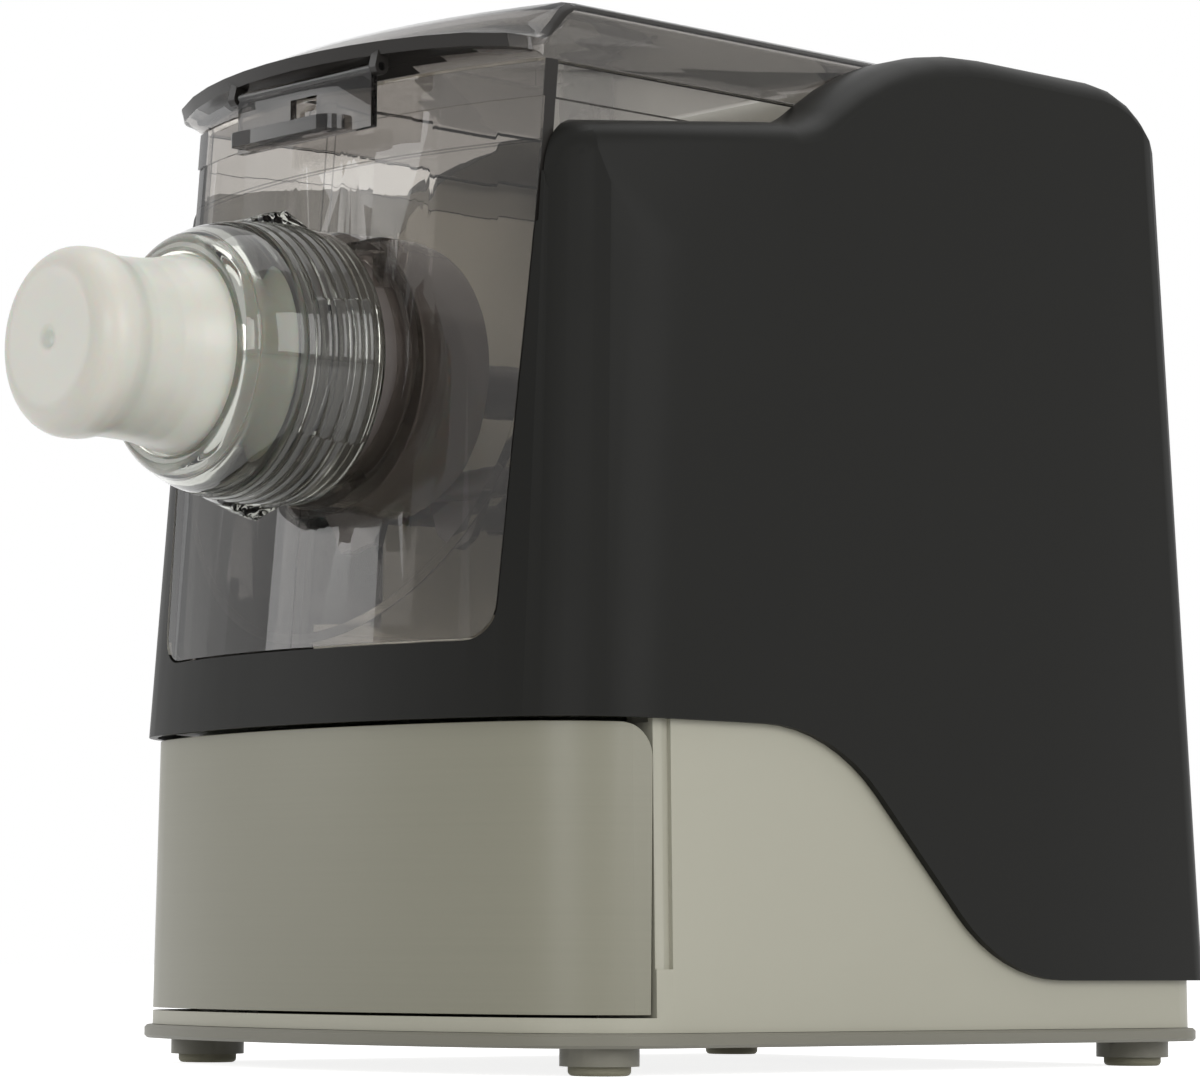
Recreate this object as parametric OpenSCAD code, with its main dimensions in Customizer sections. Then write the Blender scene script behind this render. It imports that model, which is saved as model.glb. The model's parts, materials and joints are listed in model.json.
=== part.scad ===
// Electric pasta maker: mixing tub and screw extruder on a drawer base.
// Millimetres. +Z is up, -Y is the front, X runs across the machine.
// Everything is drawn about the centre of the four feet on the table, and placed() then
// moves the machine along Y so that the origin is the middle of its footprint.

/* [Feet] */
// Distance between the left and right feet
foot_span_x = 177.5; // [165:0.5:180]
// Distance between the front and rear feet
foot_span_y = 219.6; // [200:0.1:222]
// Radius of a foot boss
foot_boss_r = 11; // [9:0.5:12]
// Height of the foot bosses under the plate
foot_boss_h = 5; // [3:0.5:10]
// Radius of the soft pad in each foot
pad_r = 8.7; // [6:0.1:8.8]
// Height that the soft pads stand out of their bosses
pad_h = 2.6; // [1.5:0.1:5]

/* [Base] */
// Thickness of the base plate
plate_t = 4; // [3:0.5:6]
// How far the base plate stands out beyond the walls
plate_lip = 2.4; // [1:0.1:4]
// Width across the base walls at the plate
base_w = 211.2; // [208:0.2:220]
// Centre of the feet to the front of the base
base_front = 148.4; // [147:0.2:154]
// Centre of the feet to the rear of the base
base_rear = 122.5; // [120:0.5:128]
// Radius of the bowed front
front_r = 250; // [220:5:400]
// Radius of the front corners
corner_r = 40; // [30:1:45]
// Radius of the rear corners
rear_corner_r = 10; // [6:0.5:16]
// Inward lean of the side walls, in degrees
side_lean = 1.2; // [0.5:0.1:1.6]
// Backward lean of the base's front, in degrees
base_front_lean = 0.6; // [0.3:0.1:2]
// Wall thickness of the base and its drawer
wall = 2.6; // [2:0.1:3.2]

/* [Upper housing] */
// Height of the housing's lower edge at the front
seam_high = 97.3; // [92:0.1:104]
// Height of the housing's lower edge at the rear
seam_low = 26; // [22:0.5:34]
// Where the lower edge starts to sweep down, from the feet's centre
sweep_start = -63; // [-75:1:-50]
// Slope of the sweep, in degrees
sweep_slope = 46; // [35:1:55]
// Radius of the two bends of the sweep
sweep_r = 62; // [50:1:75]
// How far the housing stands out beyond the base
shell_proud = 2.8; // [2.7:0.1:4]
// How far the housing stands out beyond the base's front
front_proud = 3.3; // [2.7:0.1:5]
// Wall thickness of the housing
shell_wall = 2.4; // [1.8:0.1:2.4]
// Backward lean of the housing's front, in degrees
shell_front_lean = 4.3; // [3:0.1:5]
// Forward lean of the housing's rear, in degrees
shell_rear_lean = 3.2; // [2:0.1:4]
// Height of the shoulders beside the tub, at their front
shoulder_h = 265; // [262:0.5:268]
// Rise of the shoulders towards the rear, in degrees
shoulder_rise = 5; // [3:0.5:6]
// Height of the hump over the drive
hump_h = 302; // [301:0.5:308]
// Where the shoulders start to rise into the hump, from the feet's centre
hump_start = -50; // [-60:1:-46]
// Slope of the rise into the hump, in degrees
hump_slope = 38; // [35:1:40]
// Width of the rounded edge of the shoulders
shoulder_round_w = 16; // [10:0.5:18]
// Height of the rounded edge of the shoulders
shoulder_round_h = 9; // [6:0.5:12]

/* [Tub] */
// Height of the drive axis above the table
axis_h = 199.5; // [197:0.5:202]
// Half the outer width of the tub
tub_half = 79; // [76:0.5:80]
// Wall thickness of the tub
tub_wall = 3; // [2:0.1:4]
// Rear end of the tub, from the feet's centre
tub_rear = 13; // [8:0.5:14]
// Height of the tub's rim
rim_h = 281.3; // [280:0.1:283]
// Height of the thicker band under the rim
band_h = 10.8; // [6:0.1:14]
// Thickness of the front panel
panel_t = 3.5; // [2.5:0.1:4]
// Height of the bottom of the window
window_low = 118.5; // [112:0.5:122]
// Radius of the window's bottom corners
window_corner_r = 10; // [6:0.5:16]
// How much narrower each side of the window is at the bottom
window_taper = 4.6; // [2:0.1:6]

/* [Lid] */
// Height of the lid
lid_h = 17.8; // [15.5:0.1:20]
// Wall thickness of the lid
lid_wall = 2.3; // [1.8:0.1:2.6]
// How far the visor stands out at its middle
visor_reach = 14; // [8:0.5:18]
// Width of the latch tab
latch_w = 62; // [40:1:70]
// Height of the latch tab
latch_h = 16; // [14:0.5:20]
// How far the latch tab hangs in front of the panel
latch_reach = 6.9; // [6.5:0.1:7.5]

/* [Extruder] */
// Screw and barrel: radius of the screw
screw_r = 22; // [16:0.5:24]
// Pitch of the screw
screw_pitch = 24; // [16:1:32]
// Outer radius of the barrel's threaded neck
neck_r = 35.2; // [33:0.1:36]
// Pitch of the nut's thread
thread_pitch = 3; // [2.5:0.1:4]
// Length of the nut
nut_len = 44.7; // [40:0.1:50]
// Radius of the nut's front ring
nut_front_r = 34.9; // [34:0.1:37]
// Radius of the nut's rear between the grips
nut_rear_r = 40.6; // [40:0.1:43]
// Height of the nut's grips above it
grip_h = 4.2; // [2:0.1:5]
// Reach of the die cap's nose beyond the nut
nose_len = 42.4; // [30:0.1:50]
// Radius of the head of the nose
nose_r = 26.5; // [22:0.1:27]

/* [Drawer] */
// Height of the drawer front
drawer_h = 79.6; // [70:0.1:79.8]
// Radius of the drawer front's top corners
drawer_corner_r = 9.5; // [4:0.5:12]
// How far the tray's sides lie inside the base's sides
tray_inset = 29.6; // [28.6:0.1:36]
// Length of the tray behind the drawer front
tray_len = 154; // [140:1:160]
// Wall thickness of the tray
tray_wall = 2; // [1.5:0.1:2.6]

/* [Drive] */
// Module of the first gear pair
fast_module = 1; // [0.9:0.05:1.05]
// Module of the second gear pair
slow_module = 1.5; // [1.4:0.05:1.55]
// Width of the gears
gear_w = 7; // [5:0.5:8]
// Radius of the drive shaft
shaft_r = 6; // [5:0.25:7]
// Radius of the motor's can
motor_r = 35; // [28:0.5:36]
// Length of the motor's can
motor_len = 52; // [40:1:54]

/* [Controls] */
// Half the width of the control panel
controls_half = 62; // [55:1:66]
// Depth of the control panel
controls_d = 34; // [28:1:36]
// Radius of the buttons
button_r = 7; // [5:0.5:9]
// Distance between neighbouring buttons
button_pitch = 20; // [19:0.5:22]
// Travel of the buttons
button_travel = 1.2; // [0.6:0.1:1.5]

/* [Hidden] */
$fn = 64;

slip = 0.3;        // gap between pieces that meet
run = 0.05;        // radial clearance of a shaft in its bearing
seat = 0.02;       // radial clearance of a fixed pin in its hole
sliver = 0.01;     // gap between flat faces that rest on each other
past = 1;          // how far a cut runs past the face it opens
far = 400;         // longer than the machine in any direction

foot_x = foot_span_x / 2;
foot_y = foot_span_y / 2;
plate_low = pad_h + foot_boss_h;
plate_top = plate_low + plate_t;
sill_top = plate_top + 4.2;

// Half width and the distances to the front and rear, at a height
function base_half(z) = base_w / 2 - (z - plate_top) * tan(side_lean);
function base_front_at(z) = base_front - (z - plate_top) * tan(base_front_lean);
function shell_half(z) = base_half(z) + shell_proud;
function shell_front_at(z) =
  base_front_at(seam_high) + front_proud - (z - seam_high) * tan(shell_front_lean);
function shell_rear_at(z) = base_rear + 4 - (z - seam_low) * tan(shell_rear_lean);

function arc(cx, cy, r, from, to, n) =
  [for (i = [0:n]) let (a = from + (to - from) * i / n) [cx + r * cos(a), cy + r * sin(a)]];

// The machine's plan: a bowed front, rounded front corners, straight sides and a flat rear
function plan(half, front, rear, grow = 0) =
  let (
    big = front_r + grow,
    small = corner_r + grow,
    back = max(1, rear_corner_r + grow),
    centre_y = front_r - front,
    dx = half - corner_r,
    corner_y = centre_y - sqrt(pow(big - small, 2) - dx * dx),
    turn = atan2(corner_y - centre_y, dx),
    bow = arc(0, centre_y, big, -90, turn, 7),
    bend = [for (i = [1:8]) let (a = turn * (1 - i / 8)) [dx + small * cos(a), corner_y + small * sin(a)]],
    rear_bend = arc(half - rear_corner_r, rear - rear_corner_r, back, 0, 90, 5),
    right = concat(bow, bend, rear_bend)
  )
  concat(right, [for (i = [len(right) - 1:-1:1]) [-right[i][0], right[i][1]]]);

// Two bends joined by a straight slope, from one level to another
function sweep_run(drop, slope, r1, r2) =
  (r1 + r2) * sin(slope) + (drop - (r1 + r2) * (1 - cos(slope))) / tan(slope);
function sweep_line(start, z1, z2, slope, r1, r2, n) =
  let (up = z2 > z1 ? 1 : -1, end = start + sweep_run(abs(z2 - z1), slope, r1, r2))
  concat(
    [for (i = [0:n]) let (a = slope * i / n) [start + r1 * sin(a), z1 + up * r1 * (1 - cos(a))]],
    [for (i = [0:n]) let (a = slope * (1 - i / n)) [end - r2 * sin(a), z2 - up * r2 * (1 - cos(a))]]
  );

// Helpers that lay a 2D shape or a cylinder along an axis
module along_y(y = 0, x = 0, z = axis_h) translate([x, y, z]) rotate([-90, 0, 0]) children();
module extrude_x(from, to) translate([from, 0, 0]) rotate([90, 0, 90]) linear_extrude(to - from) children();
module extrude_y(from, to) translate([0, to, 0]) rotate([90, 0, 0]) linear_extrude(to - from) children();
module block(x1, x2, y1, y2, z1, z2) translate([x1, y1, z1]) cube([x2 - x1, y2 - y1, z2 - z1]);
module mirrored_x() {
  children();
  mirror([1, 0, 0]) children();
}
module four_at(x, y) for (sx = [-1, 1], sy = [-1, 1]) translate([sx * x, sy * y, 0]) children();
module rounded_rect(w, h, r) {
  square([w - 2 * r, h], center = true);
  square([w, h - 2 * r], center = true);
  for (sx = [-1, 1], sy = [-1, 1]) translate([sx * (w / 2 - r), sy * (h / 2 - r)]) circle(r);
}

// A closed skin through a row of rings with equal numbers of points
module skin(rings) {
  n = len(rings[0]);
  m = len(rings);
  polyhedron(
    points = [for (ring = rings) for (p = ring) p],
    faces = concat(
      [[for (j = [0:n - 1]) j]],
      [for (i = [0:m - 2], j = [0:n - 1]) each let (a = i * n + j, b = i * n + (j + 1) % n)
        [[a, a + n, b], [b, a + n, b + n]]],
      [[for (j = [n - 1:-1:0]) (m - 1) * n + j]]));
}

module loft(levels) skin([for (level = levels) [for (p = level[1]) [p[0], p[1], level[0]]]]);

// The leaning outer forms of the base and of the housing, grown or shrunk by an offset
module base_form(z1, z2, grow = 0)
  loft([for (z = [z1, z2]) [z, plan(base_half(z), base_front_at(z), base_rear, grow)]]);
module shell_form(z1, z2, grow = 0)
  loft([for (z = [z1, z2]) [z, plan(shell_half(z), shell_front_at(z), shell_rear_at(z), grow)]]);

// ---------------------------------------------------------------- base

base_lap = 5;                                   // how far the base reaches up inside the housing
plate_edge = 0.8;                               // chamfer round the base plate
post_inset = 15.6;                              // screw posts of the base, in from its sides
post_x = base_w / 2 - post_inset;
post_y = 95;
post_r = 5;
screw_r_base = 2;
head_r_base = 4;
deck_z = 98.8;                                  // underside of the inner frame's deck
deck_t = 3;
panel_edge_y = -104;                            // where the drawer front ends at the sides
strip_w = 3.1;                                  // strip of wall between drawer front and groove
groove_w = 2.6;
groove_d = 1.4;
strip_d = 0.6;
groove_low = 29;
frame_y = panel_edge_y + 0.5;                   // bulkhead round the mouth of the drawer bay
frame_t = 2.5;
tray_half = base_w / 2 - tray_inset;
bay_half = tray_half + 5.5;

seam_end = sweep_start + sweep_run(seam_high - seam_low, sweep_slope, sweep_r, sweep_r);
function seam_line(lift) =
  [for (p = sweep_line(sweep_start, seam_high, seam_low, sweep_slope, sweep_r, sweep_r, 8))
    [p[0], p[1] + lift]];
function below_seam(lift) =
  concat([[-far, -past], [-far, seam_high + lift]], seam_line(lift), [[far, seam_low + lift], [far, -past]]);

module screw_head_down(r, head_r, head_h, length) {
  cylinder(r = head_r, h = head_h);
  translate([0, 0, head_h]) cylinder(r = r, h = length);
}

module base_plate() color([0.66, 0.65, 0.60]) {
  difference() {
    union() {
      loft([for (level = [[plate_low, -plate_edge], [plate_low + plate_edge, 0], [plate_top - plate_edge, 0],
        [plate_top, -plate_edge]])
        [level[0], plan(base_half(plate_top), base_front, base_rear, plate_lip + level[1])]]);
      four_at(foot_x, foot_y) translate([0, 0, pad_h]) cylinder(r = foot_boss_r, h = foot_boss_h + 1);
    }
    four_at(foot_x, foot_y) translate([0, 0, pad_h - past]) cylinder(r = pad_r + slip, h = 3 + past);
    four_at(post_x, post_y) translate([0, 0, plate_low - past]) {
      cylinder(r = screw_r_base + 0.2, h = plate_t + 2 * past);
      cylinder(r = head_r_base + slip, h = 2 + past);
    }
    for (i = [-4:4]) translate([i * 9, 62, plate_low - past])
      linear_extrude(plate_t + 2 * past) vent_slot(3, 46);
  }
}

module vent_slot(w, length) {
  square([w, length - w], center = true);
  for (s = [-1, 1]) translate([0, s * (length - w) / 2]) circle(w / 2);
}

module foot_pads() color([0.55, 0.54, 0.50])
  four_at(foot_x, foot_y) {
    translate([0, 0, 0.8]) cylinder(r = pad_r, h = pad_h + 2.9 - 0.8);
    cylinder(r1 = pad_r - 0.8, r2 = pad_r, h = 0.8);
  }

module base_screws() color("silver")
  four_at(post_x, post_y) translate([0, 0, plate_low + 0.2])
    difference() {
      screw_head_down(screw_r_base, head_r_base, 1.7, 10);
      translate([-2.5, -0.5, -past]) cube([5, 1, past + 0.7]);
    }

// A screw post of the base with the rib that ties it to its wall
module screw_post(y, top, rib_top) {
  low = plate_top + slip / 3;
  translate([post_x, y, low]) cylinder(r = post_r, h = top - low);
  block(post_x, far, y - 1, y + 1, low, rib_top);
}

// A cut of even depth into the leaning side walls, between two places along them
module side_cut(from, to, depth) difference() {
  block(-far, far, from, to, groove_low, far);
  base_form(groove_low - past, seam_high + 2 * base_lap, -depth);
}

module base_housing() color([0.69, 0.68, 0.62]) {
  difference() {
    union() {
      difference() {
        base_form(plate_top + slip / 3, seam_high + base_lap);
        base_form(plate_top - past, seam_high + base_lap + past, -wall);
        block(-far, far, -far, frame_y, sill_top, far);
        side_cut(frame_y, frame_y + strip_w, strip_d);
        side_cut(frame_y + strip_w, frame_y + strip_w + groove_w, groove_d);
      }
      intersection() {
        base_form(plate_top + slip / 3, seam_high - 1, -wall / 2);
        mirrored_x() block(bay_half, far, frame_y, frame_y + frame_t, 0, far);
      }
      intersection() {
        base_form(plate_top + slip / 3, deck_z - slip, -wall / 2);
        mirrored_x() {
          screw_post(-post_y, deck_z - slip, deck_z - slip);
          screw_post(post_y, seam_low, seam_low);
          screw_post(frame_rear_post_y, deck_z - slip, seam_low + 20);
        }
      }
    }
    extrude_x(-far, far) polygon(concat(
      [[-far, seam_high + base_lap], [sweep_start, seam_high + base_lap]], seam_line(base_lap),
      [[far, seam_low + base_lap], [far, far], [-far, far]]));
    four_at(post_x, post_y) translate([0, 0, plate_top - past])
      cylinder(r = screw_r_base + seat, h = 11 + past);
    mirrored_x() for (y = [-post_y, frame_rear_post_y])
      translate([post_x, y, deck_z - 9]) cylinder(r = 1.5 + seat, h = 20);
  }
}
frame_rear_post_y = -12;

module chassis_screws() color("silver")
  mirrored_x() for (y = [-post_y, frame_rear_post_y]) translate([post_x, y, deck_z + deck_t + 1.9])
    mirror([0, 0, 1]) screw_head_down(1.5, 3, 1.7, 9.5);

// ---------------------------------------------------------------- drawer

drawer_low = sill_top + 0.8;
front_t = 3;
drawer_top = drawer_low + drawer_h;
tray_low = plate_top + 6;
tray_top = tray_low + 66;
tray_rear = tray_len - base_front;
rib_z = tray_low + 40;
rib_t = 3;
rib_reach = 4;
rail_half = tray_half + 0.6;
rail_t = 6;
rail_y = panel_edge_y + 4;
drawer_screw_x = 20;
drawer_screw_z = tray_low + 40;
drawer_boss_r = 3.5;

// Where the bowed front lies behind its middle, at a half width
function bow_back(x) = front_r - sqrt(front_r * front_r - x * x);
drawer_screw_y = -base_front_at(drawer_screw_z) + bow_back(drawer_screw_x);

module drawer_front() color([0.60, 0.58, 0.53])
  difference() {
    union() {
      intersection() {
        difference() {
          base_form(drawer_low, drawer_top);
          base_form(drawer_low - past, drawer_top + past, -front_t);
        }
        extrude_x(-far, far) polygon(concat(
          [[-far, drawer_low], [panel_edge_y - 1.4, drawer_low]],
          arc(panel_edge_y - drawer_corner_r, drawer_top - drawer_corner_r, drawer_corner_r, 0, 90, 10),
          [[-far, drawer_top]]));
      }
      mirrored_x() along_y(drawer_screw_y + 1, drawer_screw_x, drawer_screw_z)
        cylinder(r = drawer_boss_r, h = front_t + tray_wall - 0.8);
    }
    mirrored_x() along_y(drawer_screw_y + 1.2, drawer_screw_x, drawer_screw_z)
      cylinder(r = 1.5 + seat, h = 20);
  }

module drawer_tray() color([0.75, 0.75, 0.73])
  difference() {
    union() {
      intersection() {
        block(-tray_half, tray_half, -far, tray_rear, tray_low, tray_top);
        base_form(tray_low - past, tray_top + past, -front_t - slip);
      }
      mirrored_x() block(tray_half - 1, tray_half + rib_reach, rail_y + 4, tray_rear, rib_z, rib_z + rib_t);
    }
    intersection() {
      block(tray_wall - tray_half, tray_half - tray_wall, -far, tray_rear - tray_wall, tray_low + tray_wall,
        far);
      base_form(tray_low - past, tray_top + past, -front_t - slip - tray_wall);
    }
    mirrored_x() along_y(drawer_screw_y, drawer_screw_x, drawer_screw_z)
      cylinder(r = drawer_boss_r + slip, h = 20);
  }

module drawer_rails() color([0.60, 0.60, 0.58])
  mirrored_x() difference() {
    block(rail_half, rail_half + rail_t, rail_y, tray_rear - 2, plate_top + slip, rib_z + rib_t + 5);
    block(rail_half - past, rail_half + rib_reach + 0.2, rail_y - past, far, rib_z - 0.4, rib_z + rib_t + 0.4);
  }

module drawer_screws() color("silver")
  mirrored_x() along_y(drawer_screw_y + front_t + tray_wall + 0.9, drawer_screw_x, drawer_screw_z) {
    cylinder(r = 5.5, h = 1.6);
    translate([0, 0, -4]) cylinder(r = 1.5, h = 5);
  }

// ---------------------------------------------------------------- inner frame

wall_y = tub_rear + 11.5;                       // front of the frame's upright wall
frame_wall = 2.5;
skirt_h = 14;                                   // lip of the housing round the tub
frame_wall_top = shoulder_h - skirt_h - slip;
frame_half = post_x + 2;
saddle_t = 3;                                   // two saddles carry the tub
saddle_half = 58;
saddle_h = 30;
saddle_places = [-95, -15];
gusset_y = -17.5;                               // stiffeners of the upright wall
gusset_h = 60;
cheek_y = -51.5;                                // light side cheeks beside the tub
cheek_z = 257;
slow_teeth = 66;
slow_pinion_teeth = 14;
fast_teeth = 60;
fast_pinion_teeth = 15;
slow_distance = slow_module * (slow_teeth + slow_pinion_teeth) / 2;
fast_distance = fast_module * (fast_teeth + fast_pinion_teeth) / 2;
idler_z = axis_h - slow_distance;
motor_z = idler_z - fast_distance;
bearing_r = shaft_r + 4;
pin_r = 4;

module inner_frame() color([0.62, 0.62, 0.60]) {
  difference() {
    union() {
      translate([0, 0, deck_z]) linear_extrude(deck_t) difference() {
        polygon(plan(base_half(deck_z), base_front_at(deck_z), base_rear, -wall - 2 * slip));
        translate([-far / 2, wall_y + frame_wall]) square(far);
      }
      extrude_y(wall_y, wall_y + frame_wall) difference() {
        translate([-frame_half, deck_z]) square([2 * frame_half, frame_wall_top - deck_z]);
        translate([0, axis_h]) circle(bearing_r + seat);
        translate([0, idler_z]) circle(pin_r + seat);
      }
      for (y = saddle_places) extrude_y(y, y + saddle_t) difference() {
        translate([-saddle_half, deck_z + 1]) square([2 * saddle_half, saddle_h]);
        translate([0, axis_h]) circle(tub_half + slip);
      }
      mirrored_x() block(post_x - 4, post_x - 1, gusset_y, wall_y + 1, deck_z + 1, deck_z + gusset_h);
      mirrored_x() extrude_x(tub_half + slip, opening_half - slip)
        polygon([[cheek_y, deck_z + 1], [cheek_y, cheek_z], [cheek_y + cheek_top - cheek_z, cheek_top],
          [wall_y - slip, cheek_top], [wall_y - slip, frame_wall_top], [wall_y + 1, frame_wall_top],
          [wall_y + 1, deck_z + 1]]);
    }
    mirrored_x() for (y = [-post_y, frame_rear_post_y])
      translate([post_x, y, deck_z - past]) cylinder(r = 1.5 + 0.2, h = deck_t + 2 * past);
    mirrored_x() translate([post_x - post_r, frame_rear_post_y - post_r, deck_z + deck_t])
      cube([2 * post_r, 2 * post_r, far]);
  }
}

// ---------------------------------------------------------------- upper housing

opening_half = tub_half + 1.5;                  // half width of the opening round the tub
opening_front_y = bow_back(opening_half) - shell_front_at(shoulder_h);
shoulder_front_r = 10;
hump_rear_r = 26;
hump_rear_y = shell_rear_at(hump_h) - 1;
block_y = wall_y;                               // front wall of the drive housing, behind the lid
shell_base = seam_low - 4;
shoulder_low = shoulder_h + (hump_start - opening_front_y) * tan(shoulder_rise);
hump_slope_r = 30;
hump_top_r = 105;
hump_end = hump_start + sweep_run(hump_h - shoulder_low, hump_slope, hump_slope_r, hump_top_r);
controls_y = (hump_end + hump_rear_y - hump_rear_r) / 2 + 1;
controls_t = 1.6;
panel_floor = hump_h - controls_t;
pocket_t = 2.4;
lens_x = 34;

// Height of the housing along its length, from the front of the opening to the rear
function top_line() = concat(
    [[-far / 2, shoulder_h - 60]],
    arc(opening_front_y + shoulder_front_r, shoulder_h - shoulder_front_r, shoulder_front_r, 180, 95, 5),
    sweep_line(hump_start, shoulder_low, hump_h, hump_slope, hump_slope_r, hump_top_r, 6),
    arc(hump_rear_y - hump_rear_r, hump_h - hump_rear_r, hump_rear_r, 90, 20, 5),
    [[far / 2, hump_h - 60]]);

// Half width of the housing beside a point of its length, near the height of the shoulders
function half_beside(y, z) =
  let (
    dx = shell_half(z) - corner_r,
    centre_y = front_r - shell_front_at(z),
    corner_y = centre_y - sqrt(pow(front_r - corner_r, 2) - dx * dx)
  )
  y >= corner_y || y < opening_front_y - 1 ? dx + corner_r
    : dx + sqrt(pow(corner_r, 2) - pow(corner_y - y, 2));

// Rounded edges of the two shoulders in one upright slice, from right to left
function shoulder_edges(half, z, grow) =
  let (right = [for (a = [0:15:90]) [half - shoulder_round_w + (shoulder_round_w + grow) * cos(a),
    z - shoulder_round_h + (shoulder_round_h + grow) * sin(a)]])
  concat(right, [for (i = [len(right) - 1:-1:0]) [-right[i][0], right[i][1]]]);

// One upright slice of the housing's top, wider than the housing below its shoulders
function shoulder_ring(y, z, grow) =
  let (half = half_beside(y, z) + 0.4, low = shell_half(z - 60) + 1)
  [for (p = concat(
    [[-shell_half(0) - 3, shell_base - 10], [shell_half(0) + 3, shell_base - 10], [low, z - 60]],
    shoulder_edges(half, z, grow), [[-low, z - 60]])) [p[0], y, p[1]]];

module shoulder_form(grow) {
  line = top_line();
  skin([for (i = [len(line) - 1:-1:0]) shoulder_ring(line[i][0], line[i][1], grow)]);
}

module housing_form(grow) intersection() {
  shell_form(shell_base - 1, hump_h + 2, grow);
  shoulder_form(grow);
}

// The window in the front, open at its top
module window_outline(inset) {
  top = opening_half - inset;
  bottom = opening_half - window_taper - inset;
  low = window_low + inset;
  r = window_corner_r;
  polygon(concat(
    arc(bottom - r, low + r, r, -90, 0, 8), [[top, shoulder_h - 10], [top, far]],
    [[-top, far], [-top, shoulder_h - 10]], arc(-bottom + r, low + r, r, 180, 270, 8)));
}

module upper_housing() color([0.17, 0.17, 0.165])
  difference() {
    union() {
      difference() {
        housing_form(0);
        housing_form(-shell_wall);
      }
      intersection() {
        housing_form(-shell_wall / 2);
        union() {
          block(-opening_half - 2, opening_half + 2, block_y, block_y + 2, frame_wall_top + slip / 2, far);
          on_rear() extrude_y(-cover_t - slip / 3 - 2.4, -cover_t - slip / 3) rear_opening(4);
          mirrored_x() block(opening_half, opening_half + 1.8, -far, block_y + 1, shoulder_h - skirt_h, far);
          mirrored_x() translate([post_x, post_y, seam_low + slip]) cylinder(r = post_r, h = 40);
          mirrored_x() block(post_x, far, post_y - 1, post_y + 1, seam_low + base_lap + slip, seam_low + 40);
          translate([0, controls_y, panel_floor - pocket_t]) linear_extrude(pocket_t + past)
            rounded_rect(2 * controls_half + 6, controls_d + 6, 5);
          board_corners() translate([0, 0, board_top + slip / 3])
            cylinder(r = 2.5, h = panel_floor - board_top - 1);
        }
      }
    }
    extrude_y(-far, -50) window_outline(0);
    block(-opening_half, opening_half, -far, block_y, shoulder_h - 30, far);
    extrude_x(-far, far) polygon(below_seam(0));
    translate([0, controls_y, panel_floor]) linear_extrude(far)
      rounded_rect(2 * controls_half + 2 * slip, controls_d + 2 * slip, 4);
    for (x = button_places) translate([x, controls_y, panel_floor - 5])
      cylinder(r = button_r + slip, h = 10);
    translate([-lens_x, controls_y, panel_floor - 5])
      linear_extrude(10) square([lens_w, lens_d] / 2, center = true);
    on_rear() extrude_y(-cover_t - slip / 3, far) rear_opening(slip);
    on_rear() extrude_y(-30, far) rear_opening(-9);
    on_rear() cover_screw_places() along_y(-20, 0, 0) cylinder(r = 1.5 + seat, h = 40);
  }

// ---------------------------------------------------------------- rear

cover_t = 2.2;
cover_half = 74;
cover_low = 44;
cover_high = 236;
louvres = 9;                                    // rows of slots over the motor
louvre_z = 120;
louvre_pitch = 11;
inlet_x = 46;
inlet_z = 66;
inlet_w = 30;
inlet_h = 22;
socket_w = 24.4;
socket_h = 16.4;

module on_rear() translate([0, shell_rear_at(0), 0]) rotate([shell_rear_lean, 0, 0]) children();
module rear_opening(grow)
  translate([0, (cover_low + cover_high) / 2])
    rounded_rect(2 * (cover_half + grow), cover_high - cover_low + 2 * grow, 8 + min(0, grow) / 2);
module cover_screw_places()
  for (x = [4.5 - cover_half, cover_half - 4.5], z = [cover_low + 4.5, cover_high - 4.5])
    translate([x, 0, z]) children();

module rear_cover() color([0.17, 0.17, 0.165])
  on_rear() difference() {
    extrude_y(-cover_t, 0) rear_opening(0);
    for (x = [-cover_half / 2, cover_half / 2], i = [0:louvres - 1]) extrude_y(-far, far)
      translate([x, louvre_z + i * louvre_pitch]) rounded_rect(cover_half - 22, 3.6, 1.7);
    cover_screw_places() along_y(-20, 0, 0) {
      cylinder(r = 1.7, h = 40);
      translate([0, 0, 18.6]) cylinder(r = 3.3, h = 40);
    }
    extrude_y(-far, far) translate([inlet_x, inlet_z])
      square([inlet_w, inlet_h] - [3.6, 3.6], center = true);
  }

module cover_screws() color("silver")
  on_rear() cover_screw_places() along_y(-8, 0, 0) {
    cylinder(r = 1.5, h = 7);
    translate([0, 0, 6.7]) cylinder(r1 = 3, r2 = 2.5, h = 1.2);
  }

inlet_y = slip / 3;                             // seat of the mains inlet's flange, outside the cover
socket_depth = 14;
module mains_inlet() color([0.10, 0.10, 0.10])
  on_rear() translate([inlet_x, inlet_y, inlet_z]) rotate([90, 0, 0]) difference() {
    union() {
      translate([0, 0, -2]) linear_extrude(2) rounded_rect(inlet_w, inlet_h, 2);
      linear_extrude(socket_depth + 2.5) square([inlet_w - 4, inlet_h - 4], center = true);
    }
    translate([0, 0, -2 - past]) linear_extrude(socket_depth + 2 + past) socket_outline();
    for (p = inlet_pin_places) translate([p[0], p[1], 0]) linear_extrude(far)
      square([4 + 2 * seat, 2 + 2 * seat], center = true);
  }
module socket_outline() {
  x = socket_w / 2;
  z = socket_h / 2;
  polygon([[-x, -z], [x, -z], [x, z - 4.5], [x - 4.5, z], [4.5 - x, z], [-x, z - 4.5]]);
}
inlet_pin_places = [[-7, -2.5], [7, -2.5], [0, 2.5]];
module inlet_pins() color([0.80, 0.66, 0.35])
  on_rear() translate([inlet_x, inlet_y, inlet_z]) rotate([90, 0, 0])
    for (p = inlet_pin_places) translate([p[0], p[1], 2]) linear_extrude(socket_depth + 8)
      square([4, 2], center = true);

// ---------------------------------------------------------------- controls

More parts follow.
